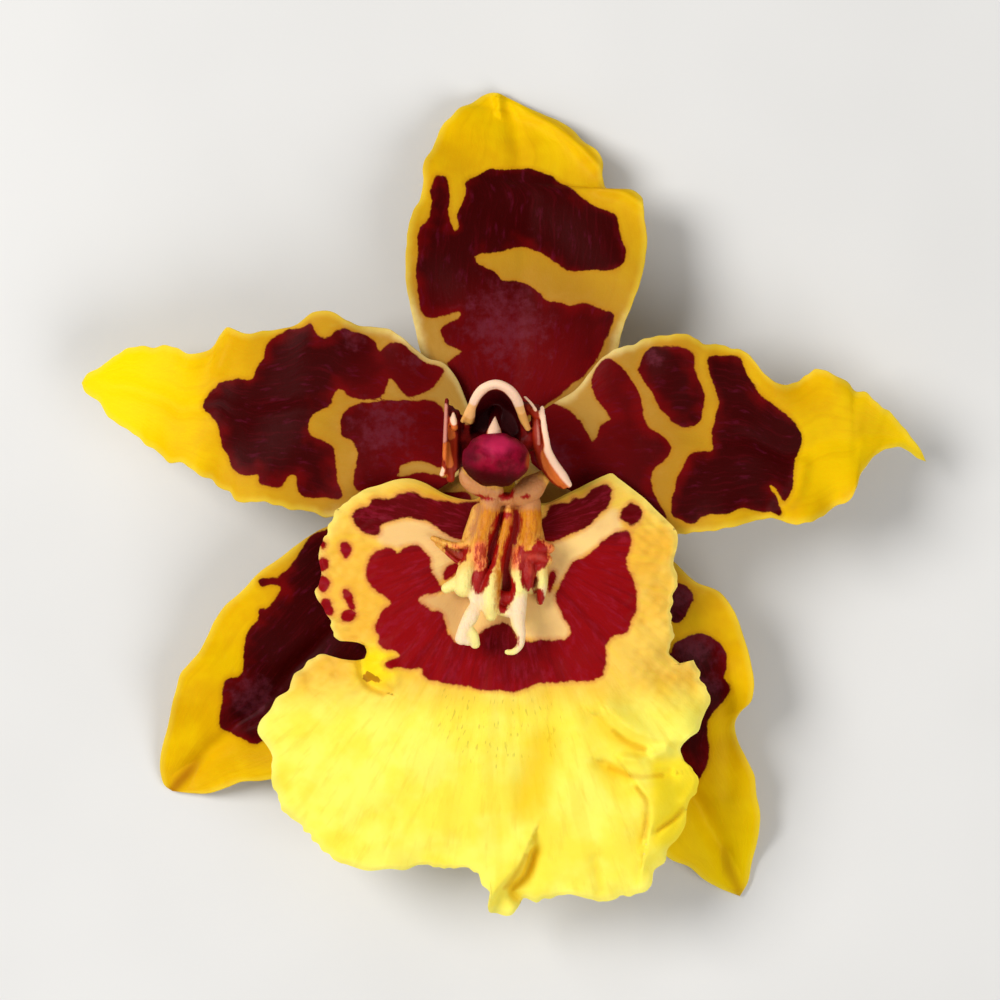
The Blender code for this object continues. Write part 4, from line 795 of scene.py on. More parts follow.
# The crest's colour zones, as closed outlines in plan, each laid over the ones before it
CREST_ZONES = {
    "orange": [
        [(-2.2, -0.4), (-0.4, -0.6), (-0.8, -1.6), (-1.4, -2.6), (-1.6, -3.6), (-2.3, -4.1), (-2.9, -3.6),
         (-2.6, -2.4)],
        [(1.4, -0.5), (3.4, -0.4), (3.5, -1.8), (3.2, -2.8), (2.7, -3.6), (2.2, -4.4), (1.6, -4.4),
         (1.3, -3.2), (1.5, -1.8)],
        [(-0.2, -1.1), (0.7, -1.4), (0.6, -2.6), (0.3, -4.0), (-0.2, -5.2), (-0.5, -6.3), (-0.9, -6.3),
         (-0.8, -4.8)],
        [(-0.9, -6.1), (-0.1, -6.2), (-0.2, -7.6), (-0.4, -9.0), (-0.6, -9.8), (-0.9, -8.8), (-0.9, -7.6)],
    ],
    "coral": [
        [(-2.8, -3.9), (-1.7, -3.6), (-1.5, -4.8), (-1.7, -6.2), (-2.2, -6.8), (-2.8, -6.2), (-2.9, -4.9)],
        [(0.6, -4.3), (1.5, -4.0), (1.7, -5.2), (1.4, -6.1), (0.6, -6.1), (0.4, -5.2)],
        [(-4.9, -3.9), (-3.8, -4.0), (-3.2, -4.4), (-4.0, -4.7)],
        [(3.1, -3.4), (4.2, -3.7), (4.5, -4.4), (4.1, -5.4), (3.7, -4.7), (3.4, -4.1)],
    ],
    "tan": [
        [(-4.5, 3.9), (-3.6, 2.7), (-2.7, 2.2), (-1.8, 1.5), (-0.5, 1.3), (0.5, 1.5), (1.1, 2.1), (1.8, 2.4),
         (2.6, 2.6), (3.3, 2.3), (3.8, 1.7), (4.0, 1.0), (3.7, 0.4), (3.4, -0.5), (2.4, -0.6), (1.5, -0.7),
         (0.7, -0.5), (0.0, -0.6), (-0.6, -0.7), (-1.4, -0.6), (-2.0, -0.2), (-2.7, 0.4), (-3.4, 0.6),
         (-3.8, 1.0), (-4.6, 2.0)],
        [(-2.6, -0.2), (-2.0, -0.3), (-2.4, -1.8), (-2.9, -3.2), (-3.3, -3.4), (-2.9, -1.9)],
    ],
    "white": [
        [(-3.3, -8.6), (-2.6, -7.7), (-2.0, -8.4), (-2.0, -9.8), (-2.3, -10.6), (-3.0, -11.3), (-3.4, -12.1),
         (-3.2, -13.4), (-4.0, -13.5), (-4.9, -13.2), (-4.7, -11.6), (-3.8, -10.2), (-3.5, -9.4)],
        [(0.3, -9.5), (1.0, -8.7), (2.0, -8.6), (2.2, -10.4), (2.2, -12.4), (2.0, -13.3), (1.3, -14.0),
         (1.1, -13.2), (1.0, -12.2), (0.6, -11.0), (0.0, -10.6)],
        [(3.2, -8.2), (3.7, -7.9), (4.0, -9.2), (3.4, -10.0), (3.2, -9.2)],
    ],
    "maroon": [
        [(-0.6, -1.1), (0.0, -0.9), (0.5, -1.1), (-0.1, -1.6), (-0.5, -2.4), (-0.7, -3.8), (-0.8, -5.0),
         (-1.2, -6.1), (-1.5, -7.1), (-2.0, -8.1), (-2.5, -8.4), (-2.9, -7.8), (-3.0, -6.9), (-2.7, -6.4),
         (-2.1, -6.3), (-1.6, -5.8), (-1.5, -4.6), (-1.6, -3.8), (-1.3, -2.8), (-0.9, -1.9)],
        [(1.1, -0.7), (1.4, -1.4), (1.3, -2.6), (1.0, -3.5), (0.6, -4.3), (0.4, -5.4), (0.4, -6.3),
         (0.7, -7.2), (0.9, -7.9), (0.7, -8.8), (0.3, -9.4), (-0.2, -10.1), (-0.5, -9.6), (-0.4, -8.6),
         (-0.2, -7.6), (-0.1, -6.5), (-0.4, -5.8), (-0.2, -4.6), (0.2, -3.5), (0.6, -2.4), (0.8, -1.4),
         (0.8, -0.8)],
        [(1.3, -4.0), (1.9, -4.5), (2.6, -4.3), (3.0, -3.5), (3.7, -4.0), (3.9, -4.6), (3.8, -5.5),
         (3.3, -6.1), (2.9, -6.3), (2.8, -7.2), (2.4, -7.9), (2.0, -7.9), (1.6, -7.4), (1.5, -6.4),
         (1.3, -6.0), (1.6, -5.3)],
        [(2.7, -8.3), (3.2, -8.1), (3.6, -8.7), (3.4, -9.4), (3.2, -9.6), (2.9, -9.0)],
        [(-5.5, -4.1), (-4.6, -4.5), (-3.9, -4.4), (-3.4, -4.1), (-3.7, -5.0), (-4.2, -5.6), (-4.9, -5.3),
         (-5.4, -4.8)],
        [(-0.5, 0.6), (0.0, 1.0), (0.5, 1.4), (0.8, 0.9), (0.5, 0.5), (0.0, 0.3)],
        [(-2.7, 0.7), (-1.9, 0.6), (-1.2, 0.3), (-1.9, 0.3)],
        [(1.5, 0.5), (2.1, 0.6), (2.0, 0.4)],
        [(0.7, -12.0), (1.1, -12.3), (1.0, -13.1), (0.5, -13.4), (0.4, -13.0)],
    ],
    # pink patches on the right bump: partly its own flush, partly painted highlight
    "blush_and_highlight": [
        [(1.8, -4.8), (2.6, -4.7), (3.5, -4.8), (3.7, -5.2), (3.0, -5.3), (2.4, -5.2), (1.9, -5.3)],
        [(0.2, -1.0), (0.7, -1.2), (0.6, -2.0), (0.2, -1.7)],
        [(2.2, -5.6), (2.5, -5.7), (2.5, -6.6), (2.2, -6.4)],
    ],
}
CREST_MELT = (0.1, 6)  # size of the cubes that its skin is taken from, and how often it is smoothed


def add_crest(finish):
    """The fleshy crest: its rods melted together and sunk a little into the lip's face."""
    mesh = melted("lip_callus", [rod(*parts) for parts in CREST_RODS.values()], *CREST_MELT)
    places = places_of(mesh)
    x, y, height = places.T
    for zone, outlines in CREST_ZONES.items():
        mark(mesh, zone, depth_inside(outlines, places[:, :2]))
    # its height, for painted shade where it sinks to the lip
    mark(mesh, "level", height)
    mark(mesh, "fore", smooth_step(-y, 4.0, 8.0))
    mark(mesh, "rib", 1 - smooth_step(-y, 3.0, 7.0) * smooth_step(np.abs(x + 0.5), 0.5, 1.0))
    stand_for("lip_callus", mesh, finish)


COLUMN_FOOT = 8.5
HOOD_BASE = 15.5
HOOD_TOP = 20.5
HOOD_WALL = 0.6
HOOD_PROFILE = (60, 34)  # rings up its outside, and down its inside
HOOD_ROUND = 120
BED = 14.8
COLUMN_MELT = (0.12, 4)
# Outline of the column at its heights: height, half width, half depth, y of its middle
COLUMN_SECTIONS = np.array([
    (COLUMN_FOOT, 1.8, 1.8, 5.6), (11.6, 1.8, 1.8, 5.6), (13.4, 2.4, 2.5, 5.9), (HOOD_BASE, 2.9, 3.6, 6.4),
    (HOOD_TOP, 2.85, 4.1, 7.0),
])


def hood():
    """Rings of the column's skin, from the middle of its foot up its outside, over the hood's rim and down
    its inside to the middle of its bed. The rim is high behind and low in front, like a scoop: a smooth step
    of the sine of the turn."""
    outside, inside = HOOD_PROFILE
    stage = np.concatenate([np.linspace(0.02, 5.5, outside), np.linspace(5.55, 7.98, inside)])[:, None]
    turn = np.linspace(0.0, 2 * math.pi, HOOD_ROUND, endpoint=False)
    rim = HOOD_BASE + 0.2 + (HOOD_TOP - HOOD_BASE - 0.6) * smooth_step(np.sin(turn), -0.15, 1.0)
    outer = np.interp(stage, [0, 1, 2, 3, 4, 8], [COLUMN_FOOT, COLUMN_FOOT, 11.6, 13.4, HOOD_BASE, HOOD_BASE])
    height = outer + (rim - HOOD_BASE) * np.clip(stage - 4, 0, 1)
    height = height + (BED - rim) * np.clip((stage - 5.5) / 1.5, 0, 1)
    width, depth, middle = (
        np.interp(height, COLUMN_SECTIONS[:, 0], COLUMN_SECTIONS[:, k]) for k in (1, 2, 3)
    )
    inset = HOOD_WALL * np.clip((stage - 5) / 0.5, 0, 1)
    spread = np.clip(stage, 0, 1) * np.clip(8 - stage, 0, 1)
    x = HUB[0] - 0.4 * smooth_step(height, 11.5, 17.0) + (width - inset) * spread * np.cos(turn)
    return np.dstack([x, middle + (depth - inset) * spread * np.sin(turn), height])


# The hood's pale rim, the pointed beak in it, its wings and their fleshy roots, as the crest's rods are given
COLUMN_RODS = {
    "rim": (
        [(-3.1, 7.5, 16.9), (-3.05, 8.6, 18.0), (-2.8, 9.5, 19.0), (-1.95, 10.55, 19.95), (-0.8, 10.9, 20.2),
         (0.35, 10.45, 19.95), (1.2, 9.4, 19.0), (1.45, 8.5, 17.9), (1.75, 7.6, 17.1), (2.1, 6.8, 16.6)],
        [0.36, 0.38, 0.37, 0.37, 0.38, 0.37, 0.37, 0.38, 0.38, 0.28], 1.0,
    ),
    "leg_left": ([(-3.05, 9.1, 18.5), (-3.45, 8.3, 17.6), (-3.9, 7.5, 16.9)], [0.28, 0.28, 0.22], 1.0),
    "leg_left_web": ([(-3.2, 8.4, 17.5), (-3.5, 7.6, 16.8)], [0.3, 0.34], 1.0),
    "beak": ([(-0.9, 7.9, 17.2), (-0.95, 7.2, 17.7), (-1.0, 6.4, 18.1)], [0.1, 0.35, 0.6], 0.8),
    "beak_left": ([(-0.95, 7.6, 17.3), (-1.25, 6.9, 17.7), (-1.5, 6.2, 18.0)], [0.1, 0.24, 0.34], 0.8),
    "beak_right": ([(-0.9, 7.6, 17.3), (-0.7, 6.9, 17.7), (-0.5, 6.2, 18.0)], [0.1, 0.24, 0.34], 0.8),
    "beak_root": ([(-0.9, 8.4, 15.0), (-0.95, 7.0, 16.4)], [0.5, 0.6], 1.0),
    "wing_right": (
        [(3.4, 8.7, 16.7), (3.52, 7.6, 16.9), (3.61, 6.7, 17.0), (3.75, 5.8, 17.0), (3.9, 4.8, 16.9),
         (4.25, 3.9, 16.7), (4.7, 3.0, 16.5), (5.3, 2.2, 16.3), (5.85, 1.65, 16.1)],
        [0.22, 0.28, 0.32, 0.35, 0.42, 0.5, 0.62, 0.6, 0.34], 0.7,
    ),
    "wing_right_inner": (
        [(2.8, 8.6, 16.0), (3.0, 7.0, 16.1), (3.1, 5.5, 16.1), (3.4, 4.0, 16.2), (4.0, 2.9, 16.1),
         (4.7, 2.1, 15.9), (5.4, 1.6, 15.7)],
        [0.5, 0.58, 0.6, 0.55, 0.5, 0.5, 0.4], 1.0,
    ),
    "wing_left_edge": (
        [(-5.35, 9.4, 16.2), (-5.4, 7.6, 16.8), (-5.45, 6.0, 16.9), (-5.5, 4.4, 16.7), (-5.55, 2.9, 16.2)],
        [0.2, 0.22, 0.24, 0.26, 0.3], 2.0,
    ),
    "wing_left_web": (
        [(-5.0, 8.6, 15.9), (-5.1, 7.0, 16.2), (-5.1, 5.2, 16.3), (-5.05, 3.6, 16.1), (-5.0, 2.2, 15.7)],
        [0.35, 0.42, 0.45, 0.48, 0.4], 1.0,
    ),
    "wing_left_inner": (
        [(-4.5, 8.2, 15.8), (-4.6, 6.6, 16.1), (-4.6, 4.8, 16.1), (-4.6, 3.2, 15.9)],
        [0.4, 0.45, 0.45, 0.4], 1.0
    ),
    "wing_left_foot": ([(-4.1, 7.6, 15.4), (-4.1, 5.6, 15.5), (-4.1, 3.6, 15.4)], [0.5, 0.55, 0.5], 0.9),
    "wing_left_tip": ([(-5.55, 3.1, 16.3), (-5.75, 2.6, 16.2)], [0.3, 0.28], 1.0),
    "prong_left": ([(-4.75, 8.3, 16.5), (-4.7, 7.6, 16.9), (-4.6, 6.9, 16.9)], [0.14, 0.28, 0.34], 1.0),
    "edge_right": ([(1.8, 9.7, 17.7), (2.3, 9.2, 17.6), (2.85, 8.5, 17.1)], [0.14, 0.16, 0.16], 1.0),
    "edge_right_root": ([(1.4, 9.0, 16.4), (2.2, 8.7, 16.6), (2.9, 8.0, 16.6)], [0.4, 0.45, 0.4], 1.2),
    "root_right": ([(1.8, 5.6, 14.6), (3.2, 5.8, 15.6)], [1.0, 0.9], 1.0),
    "root_left": ([(-2.8, 5.6, 14.6), (-4.4, 5.8, 15.4)], [1.0, 0.8], 1.0),
    "neck": ([(-0.9, 5.3, 13.0), (-0.9, 5.1, 15.0), (-0.9, 4.9, 16.7)],
             [1.7, 1.6, 1.4], 1.0, (0.0, 1.0, 0.0)),
}
# The column's tints, as lines (x, y, z) with a reach
COLUMN_TINTS = {
    "brick": [
        ([(3.2, 6.4, 16.8), (3.3, 5.0, 16.8), (3.5, 3.6, 16.7), (4.2, 2.5, 16.5), (5.0, 1.8, 16.1),
          (5.6, 1.4, 15.9)], 1.1),
        ([(-5.2, 7.2, 16.7), (-5.1, 5.6, 16.7), (-5.1, 4.0, 16.7), (-5.3, 2.2, 16.0)], 1.1),
        ([(2.4, 9.0, 17.3), (2.8, 7.6, 16.8), (2.9, 6.0, 16.7)], 0.7),
    ],
    "ember": [
        ([(3.75, 4.4, 16.9), (3.95, 3.4, 16.8), (4.4, 2.5, 16.7), (5.0, 2.0, 16.5), (5.7, 1.5, 16.2)], 0.75),
        ([(-4.8, 6.9, 17.1), (-4.95, 6.2, 16.8)], 0.7),
        ([(-5.4, 5.2, 17.0), (-5.35, 4.4, 16.9), (-5.1, 3.6, 16.7)], 0.7),
        ([(-5.5, 2.4, 16.2), (-5.6, 2.1, 16.0)], 0.4),
    ],
    "rose": [
        ([(2.95, 7.4, 16.9), (3.05, 6.4, 16.9), (3.1, 5.4, 16.9)], 0.35),
        ([(-1.9, 11.0, 19.6), (-0.7, 11.3, 19.8), (0.6, 10.9, 19.6)], 0.7),
        ([(-5.6, 8.8, 16.7), (-5.65, 7.4, 17.2), (-5.65, 5.8, 17.2)], 0.5),
    ],
    "cream": [
        ([(-3.2, 8.2, 17.8), (-2.85, 9.5, 19.2), (-1.95, 10.55, 20.2), (-0.8, 10.9, 20.5),
          (0.35, 10.45, 20.2), (1.2, 9.4, 19.2), (1.45, 8.6, 18.3)], 0.9),
        ([(-0.87, 7.7, 17.9), (-1.0, 6.4, 18.6)], 1.0),
        ([(3.45, 8.7, 16.95), (3.6, 7.6, 17.15), (3.75, 6.7, 17.25), (3.95, 5.8, 17.25), (4.1, 4.8, 17.2)],
         0.6),
        ([(4.15, 4.8, 17.2), (4.65, 3.9, 17.1), (5.2, 3.1, 17.0), (5.8, 2.35, 16.7), (6.2, 1.9, 16.4)], 0.9),
        ([(-4.75, 8.0, 16.9), (-4.7, 7.4, 17.2)], 0.5),
        ([(-5.75, 3.0, 16.6), (-5.85, 2.7, 16.4)], 0.45),
        ([(1.8, 9.7, 17.9), (2.85, 8.5, 17.3)], 0.3),
    ],
    "honey": [
        ([(-3.0, 8.8, 18.3), (-3.4, 8.0, 17.5), (-3.6, 7.5, 17.1)], 0.9),
        ([(1.35, 8.7, 18.3), (1.75, 7.6, 17.6), (2.1, 6.8, 17.0)], 0.75),
    ],
}


def near_line(places, line, reach):
    """1 on a straight-sided line through space, falling smoothly to 0 at its reach."""
    line = np.asarray(line)
    gap = to_stretches(places, line[:-1], np.diff(line, axis=0))[1]
    away = np.linalg.norm(gap, axis=-1).min(1)
    return 1 - smooth_step(away, 0.4 * reach, reach)


def add_column(finish):
    """The column: its skin, rim, beak and wings melted together."""
    mesh = melted("column", [hood()] + [rod(*parts) for parts in COLUMN_RODS.values()], *COLUMN_MELT)
    places = places_of(mesh)
    x, y, height = places.T
    for tint, lines in COLUMN_TINTS.items():
        mark(mesh, tint, np.max([near_line(places, line, reach) for line, reach in lines], axis=0))
    inside = 1 - smooth_step(np.hypot((x + 0.9) / 2.5, (y - 7.0) / 3.7), 0.85, 1.02)
    mark(mesh, "throat", inside * smooth_step(height, 13.5, 14.6) * (1 - smooth_step(height, 19.0, 20.2)))
    stand_for("column", mesh, finish)


CAP_MIDDLE = (-0.85, 3.9, 18.5)
CAP_HALF = (3.1, 2.5, 2.38)
CAP_WALL = 0.45
CAP_SQUARENESS = 0.9  # 1 for an elliptical plan, less for fuller corners
CAP_OPENING = math.radians(123)  # how far round from its top the cap goes before its rim
CAP_PROFILE = (84, 40)  # rings down its outside, and back up its inside
CAP_ROUND = 128


def add_anther_cap(finish):
    """A hollow helmet, open towards the column: rings from its top down its outside to the rim, and up its
    inside.

    The outside is a squashed ball with a slightly squared plan, raised along a low keel by a bell curve of x,
    pinched in a cleft at its front, and dimpled by waves of 2.2 and 0.9 mm."""
    outside, inside = CAP_PROFILE
    polar = np.concatenate([
        np.linspace(0.01, CAP_OPENING, outside), np.linspace(CAP_OPENING, 0.01, inside),
    ])[:, None]
    inner = np.concatenate([np.zeros(outside), np.ones(inside)])[:, None]
    turn = np.linspace(0.0, 2 * math.pi, CAP_ROUND, endpoint=False)
    across, back = (
        np.sin(polar) * np.sign(part) * np.abs(part) ** CAP_SQUARENESS
        for part in (np.cos(turn), np.sin(turn))
    )
    up = np.cos(polar) * np.ones_like(turn)
    swell = 1 + 0.02 * np.exp(-((across / 0.16) ** 2)) * smooth_step(up, 0.0, 0.8)
    swell = swell - 0.04 * np.exp(-((across / 0.13) ** 2)) * smooth_step(-back, 0.45, 1.0)
    x, y = CAP_HALF[0] * across, CAP_HALF[1] * back
    dimples = 0.03 * waves(x, y, 2.2, 71) + 0.012 * waves(x, y, 0.9, 72)
    swell = swell + (dimples - 0.02) * (1 - inner)
    points = [
        CAP_MIDDLE[k] + (CAP_HALF[k] - CAP_WALL * inner) * axis * np.minimum(swell, 1.0)
        for k, axis in enumerate((across, back, up))
    ]
    mesh = skin("anther_cap", [np.dstack(points)])
    mark_rings(mesh, up.shape, {
        # the front mark is painted shade, the top one a painted highlight
        "low": smooth_step(-back - 0.25 * across, 0.1, 0.85),
        "crown_highlight": np.exp(-(((across - 0.05) / 0.5) ** 2) - ((back - 0.55) / 0.45) ** 2),
        "flank": smooth_step(-across, 0.3, 0.9) * smooth_step(back, -0.7, 0.1),
        "lip_side": smooth_step(across, 0.8, 1.0) * np.exp(-(((back + 0.05) / 0.35) ** 2)),
    })
    stand_for("anther_cap", mesh, finish)


STALK_PATH = [
    (HUB[0], HUB[1], 8.2), (HUB[0], HUB[1], 7.3), (-0.5, 4.9, 5.6), (-0.4, 2.9, 3.9), (-0.2, -0.8, 2.45),
    (0.2, -6.0, 1.76), (0.8, -12.0, 1.46), (1.2, -19.0, 1.23), (0.9, -26.0, 1.12),
]
STALK_RADII = [1.5, 1.6, 1.65, 1.7, 1.7, 1.6, 1.4, 1.2, 1.1]
STALK_RINGS = 260
STALK_ROUND = 72
STALK_RIBS = 6
STALK_END = (0.4, 0.9, 0.97)  # sizes of the rings that close each end, as shares of the last full ring's


def add_stalk(finish):
    """The ovary and its stalk: rings across a smooth curve through the path, with six low ribs that twist
    slowly along it and fade out, a cosine of six times the turn, and ends cut square with a rounded edge."""
    share = np.linspace(0.0, 1.0, STALK_RINGS)
    rail = curve_through(np.column_stack([STALK_PATH, STALK_RADII]), share)
    middle, half = rail[:, :3], rail[:, 3:]
    beside, above = (way[:, None] for way in directions(middle, (1.0, 0.0, 0.0))[1:])
    turn = np.linspace(0.0, 2 * math.pi, STALK_ROUND, endpoint=False)
    ribs = np.cos(STALK_RIBS * turn + 2.2 * share[:, None]) - 1
    ribs = 0.06 * (1 - smooth_step(share, 0.35, 0.9))[:, None] * ribs
    radius = half * (1 + ribs) * (1 + 0.01 * waves(share[:, None] * 40, turn, 4.0, 61))
    ring = beside * np.cos(turn)[:, None] + above * np.sin(turn)[:, None]
    rings = middle[:, None] + ring * radius[..., None]
    top = [middle[0] + (rings[:1] - middle[0]) * size for size in STALK_END]
    foot = [middle[-1] + (rings[-1:] - middle[-1]) * size for size in STALK_END[::-1]]
    rings = np.concatenate([*top, rings, *foot])
    mesh = skin("ovary_pedicel", [rings])
    down = np.concatenate([np.zeros(len(STALK_END)), share, np.ones(len(STALK_END))])[:, None]
    grain = np.stack(np.broadcast_arrays(40 * down, 1.6 * np.cos(turn), 1.6 * np.sin(turn)), axis=-1)
    mark(mesh, "grain", grain.reshape(-1, 3))
    mark_rings(mesh, rings.shape[:2], {"down": down})
    stand_for("ovary_pedicel", mesh, finish)


def linear(tint):
    """An sRGB colour such as "#F2C400" as linear red, green and blue, with an alpha of 1."""
    levels = np.array([int(tint[k:k + 2], 16) for k in (1, 3, 5)]) / 255
    shares = np.where(levels <= 0.04045, levels / 12.92, ((levels + 0.055) / 1.055) ** 2.4)
    return (*(float(share) for share in shares), 1.0)


def add(tree, kind, inputs=None, **settings):
    """Adds a node with its settings. inputs gives each socket a plain value or another node's output."""
    node = tree.nodes.new(kind)
    for name, value in settings.items():
        setattr(node, name, value)
    for socket, source in (inputs or {}).items():
        if isinstance(source, bpy.types.NodeSocket):
            tree.links.new(source, node.inputs[socket])
        else:
            node.inputs[socket].default_value = source
    return node


def new_finish(name, **settings):
    """A new material, its nodes, its shader and the piece's place in millimetres. The settings go to the
    shader's sockets of the same names."""
    made = bpy.data.materials.new(name)
    made.use_nodes = True
    tree = made.node_tree
    shader = tree.nodes["Principled BSDF"]
    for socket, value in settings.items():
        shader.inputs[socket.replace("_", " ")].default_value = value
    where = add(tree, "ShaderNodeTexCoord").outputs["Object"]
    place = add(tree, "ShaderNodeMapping", {"Vector": where, "Scale": (1000.0, 1000.0, 1000.0)}).outputs[0]
    return made, tree, shader, place


TISSUE = {"Subsurface_Scale": 0.001, "Subsurface_Radius": (1.0, 0.45, 0.12)}


def marks_of(tree, *names):
    """What the skins store for each of their points, by name."""
    return {name: add(tree, "ShaderNodeAttribute", attribute_name=name).outputs["Fac"] for name in names}


def stretched(tree, vector, *scale):
    """The vector with each of its three numbers multiplied by its own scale."""
    return add(tree, "ShaderNodeMapping", {"Vector": vector, "Scale": scale}).outputs[0]


def tones_of(tree, rows):
    """Noises by name, from rows of a name, the place it varies with, the size of its patches in millimetres
    and its detail."""
    tones = {}
    for name, vector, size, detail in rows:
        inputs = {"Vector": vector, "Scale": 1 / size, "Detail": detail, "Roughness": 0.6}
        tones[name] = add(tree, "ShaderNodeTexNoise", inputs).outputs["Fac"]
    return tones


def swung(tree, source, *swings):
    """The source made uneven by each (noise, reach): up to half the reach is added or taken away."""
    for tone, reach in swings:
        swing = add(
            tree, "ShaderNodeMath", {0: tone, 1: reach, 2: -reach / 2}, operation="MULTIPLY_ADD"
        ).outputs[0]
        source = add(tree, "ShaderNodeMath", {0: source, 1: swing}, operation="ADD").outputs[0]
    return source


def painted(tree, colour, layers):
    """The colour with layers over it, each from a source, the values of it between which the layer comes in
    smoothly, its strength there, and its tint."""
    colour = linear(colour) if isinstance(colour, str) else colour
    for source, low, high, strength, tint in layers:
        tint = linear(tint) if isinstance(tint, str) else tint
        inputs = {0: source, 1: low, 2: high, 4: strength}
        mask = add(tree, "ShaderNodeMapRange", inputs, interpolation_type="SMOOTHSTEP").outputs[0]
        colour = add(tree, "ShaderNodeMix", {0: mask, 6: colour, 7: tint}, data_type="RGBA").outputs[2]
    return colour


def finish_with(tree, shader, colour, polish, relief):
    """Gives the shader its colour, its roughness, from a noise and two limits, and its relief, from noises
    and their heights in millimetres."""
    tree.links.new(colour, shader.inputs["Base Color"])
    tone, low, high = polish
    rough = add(tree, "ShaderNodeMapRange", {0: tone, 1: 0.3, 2: 0.7, 3: low, 4: high}).outputs[0]
    tree.links.new(rough, shader.inputs["Roughness"])
    above = {}
    for tone, height in relief:
        normal = add(tree, "ShaderNodeBump", {"Height": tone, "Distance": height * MM, **above}).outputs[0]
        above = {"Normal": normal}
    tree.links.new(normal, shader.inputs["Normal"])


def tepal_tissue():
    """Sepal and petal tissue, grown: thick, waxy and faintly striped by its veins. Its blotches are sap under
    the skin, so their edges are ragged and run a little along the veins."""
    made, tree, shader, place = new_finish(
        "tepal_tissue_waxy", Subsurface_Weight=0.1, Specular_IOR_Level=0.045, **TISSUE
    )
    marks = marks_of(tree, "blotch", "hub", "rim", "blanch", "sheen", "back", "tip_gold_and_light", "brown")
    grain = add(tree, "ShaderNodeAttribute", attribute_name="grain").outputs["Vector"]
    striped = stretched(tree, grain, 0.11, 1.0, 1.0)
    crinkled = stretched(tree, grain, 0.4, 1.0, 1.0)
    tones = tones_of(tree, (
        ("ragged", place, 1.5, 5.0), ("fibre", striped, 0.4, 4.0), ("cloud", place, 6.0, 3.0),
        ("cell", place, 0.22, 2.0), ("vein", striped, 1.4, 2.0), ("crinkle", crinkled, 0.7, 3.0),
        ("crease", place, 0.8, 4.0),
    ))
    frayed = swung(tree, marks["blotch"], (tones["ragged"], 0.7), (tones["fibre"], 0.2))
    patchy = swung(tree, marks["blotch"], (tones["cloud"], 5.0), (tones["ragged"], 1.2))
    sheen = swung(tree, marks["sheen"], (tones["crease"], 2.0), (tones["ragged"], 1.2))
    maroon = painted(tree, "#6E0305", (
        (patchy, -1.2, 1.2, 0.95, "#340000"), (marks["hub"], 18.0, 7.0, 0.66, "#7C0508"),
        # The lilac crinkles are a painted sheen.
        (tones["fibre"], 0.5, 0.72, 0.4, "#5C0410"), (tones["crinkle"], 0.56, 0.72, 0.3, "#6C1430"),
        # The lilac spots are a painted sheen.
        (sheen, 0.35, 1.3, 0.5, "#702A38"),
    ))
    colour = painted(tree, "#E0A800", (
        (tones["cloud"], 0.35, 0.65, 1.0, "#EEBE00"), (tones["vein"], 0.5, 0.68, 0.22, "#D09400"),
        # The tips' brightening is partly their own gold and partly painted light. The ochre towards the hub
        # is partly the tissue's own colour and partly painted shade.
        (marks["tip_gold_and_light"], 0.0, 1.0, 1.0, "#FFDA00"), (marks["hub"], 30.0, 13.0, 0.95, "#AC7822"),
        # The midrib's brown at the tip is partly its own colour and partly painted shade in the groove.
        (marks["rim"], 0.8, 0.0, 0.4, "#F0D648"), (marks["brown"], 0.0, 1.0, 0.9, "#9A5004"),
        (swung(tree, marks["blanch"], (tones["ragged"], 0.8)), 0.1, 1.1, 0.7, "#F2DC98"),
        (swung(tree, marks["hub"], (tones["ragged"], 10.0)), 17.0, 7.0, 0.45, "#D0A050"),
        (frayed, -0.5, 0.05, 0.4, "#B46C0C"), (frayed, -0.07, 0.09, 1.0, maroon),
        (marks["back"], 0.0, 1.0, 0.45, "#D9C060"),
    ))
    relief = (
        (tones["vein"], 0.02), (tones["fibre"], 0.012), (tones["crinkle"], 0.035), (tones["cell"], 0.012),
    )
    finish_with(tree, shader, colour, (tones["cloud"], 0.42, 0.58), relief)
    return made


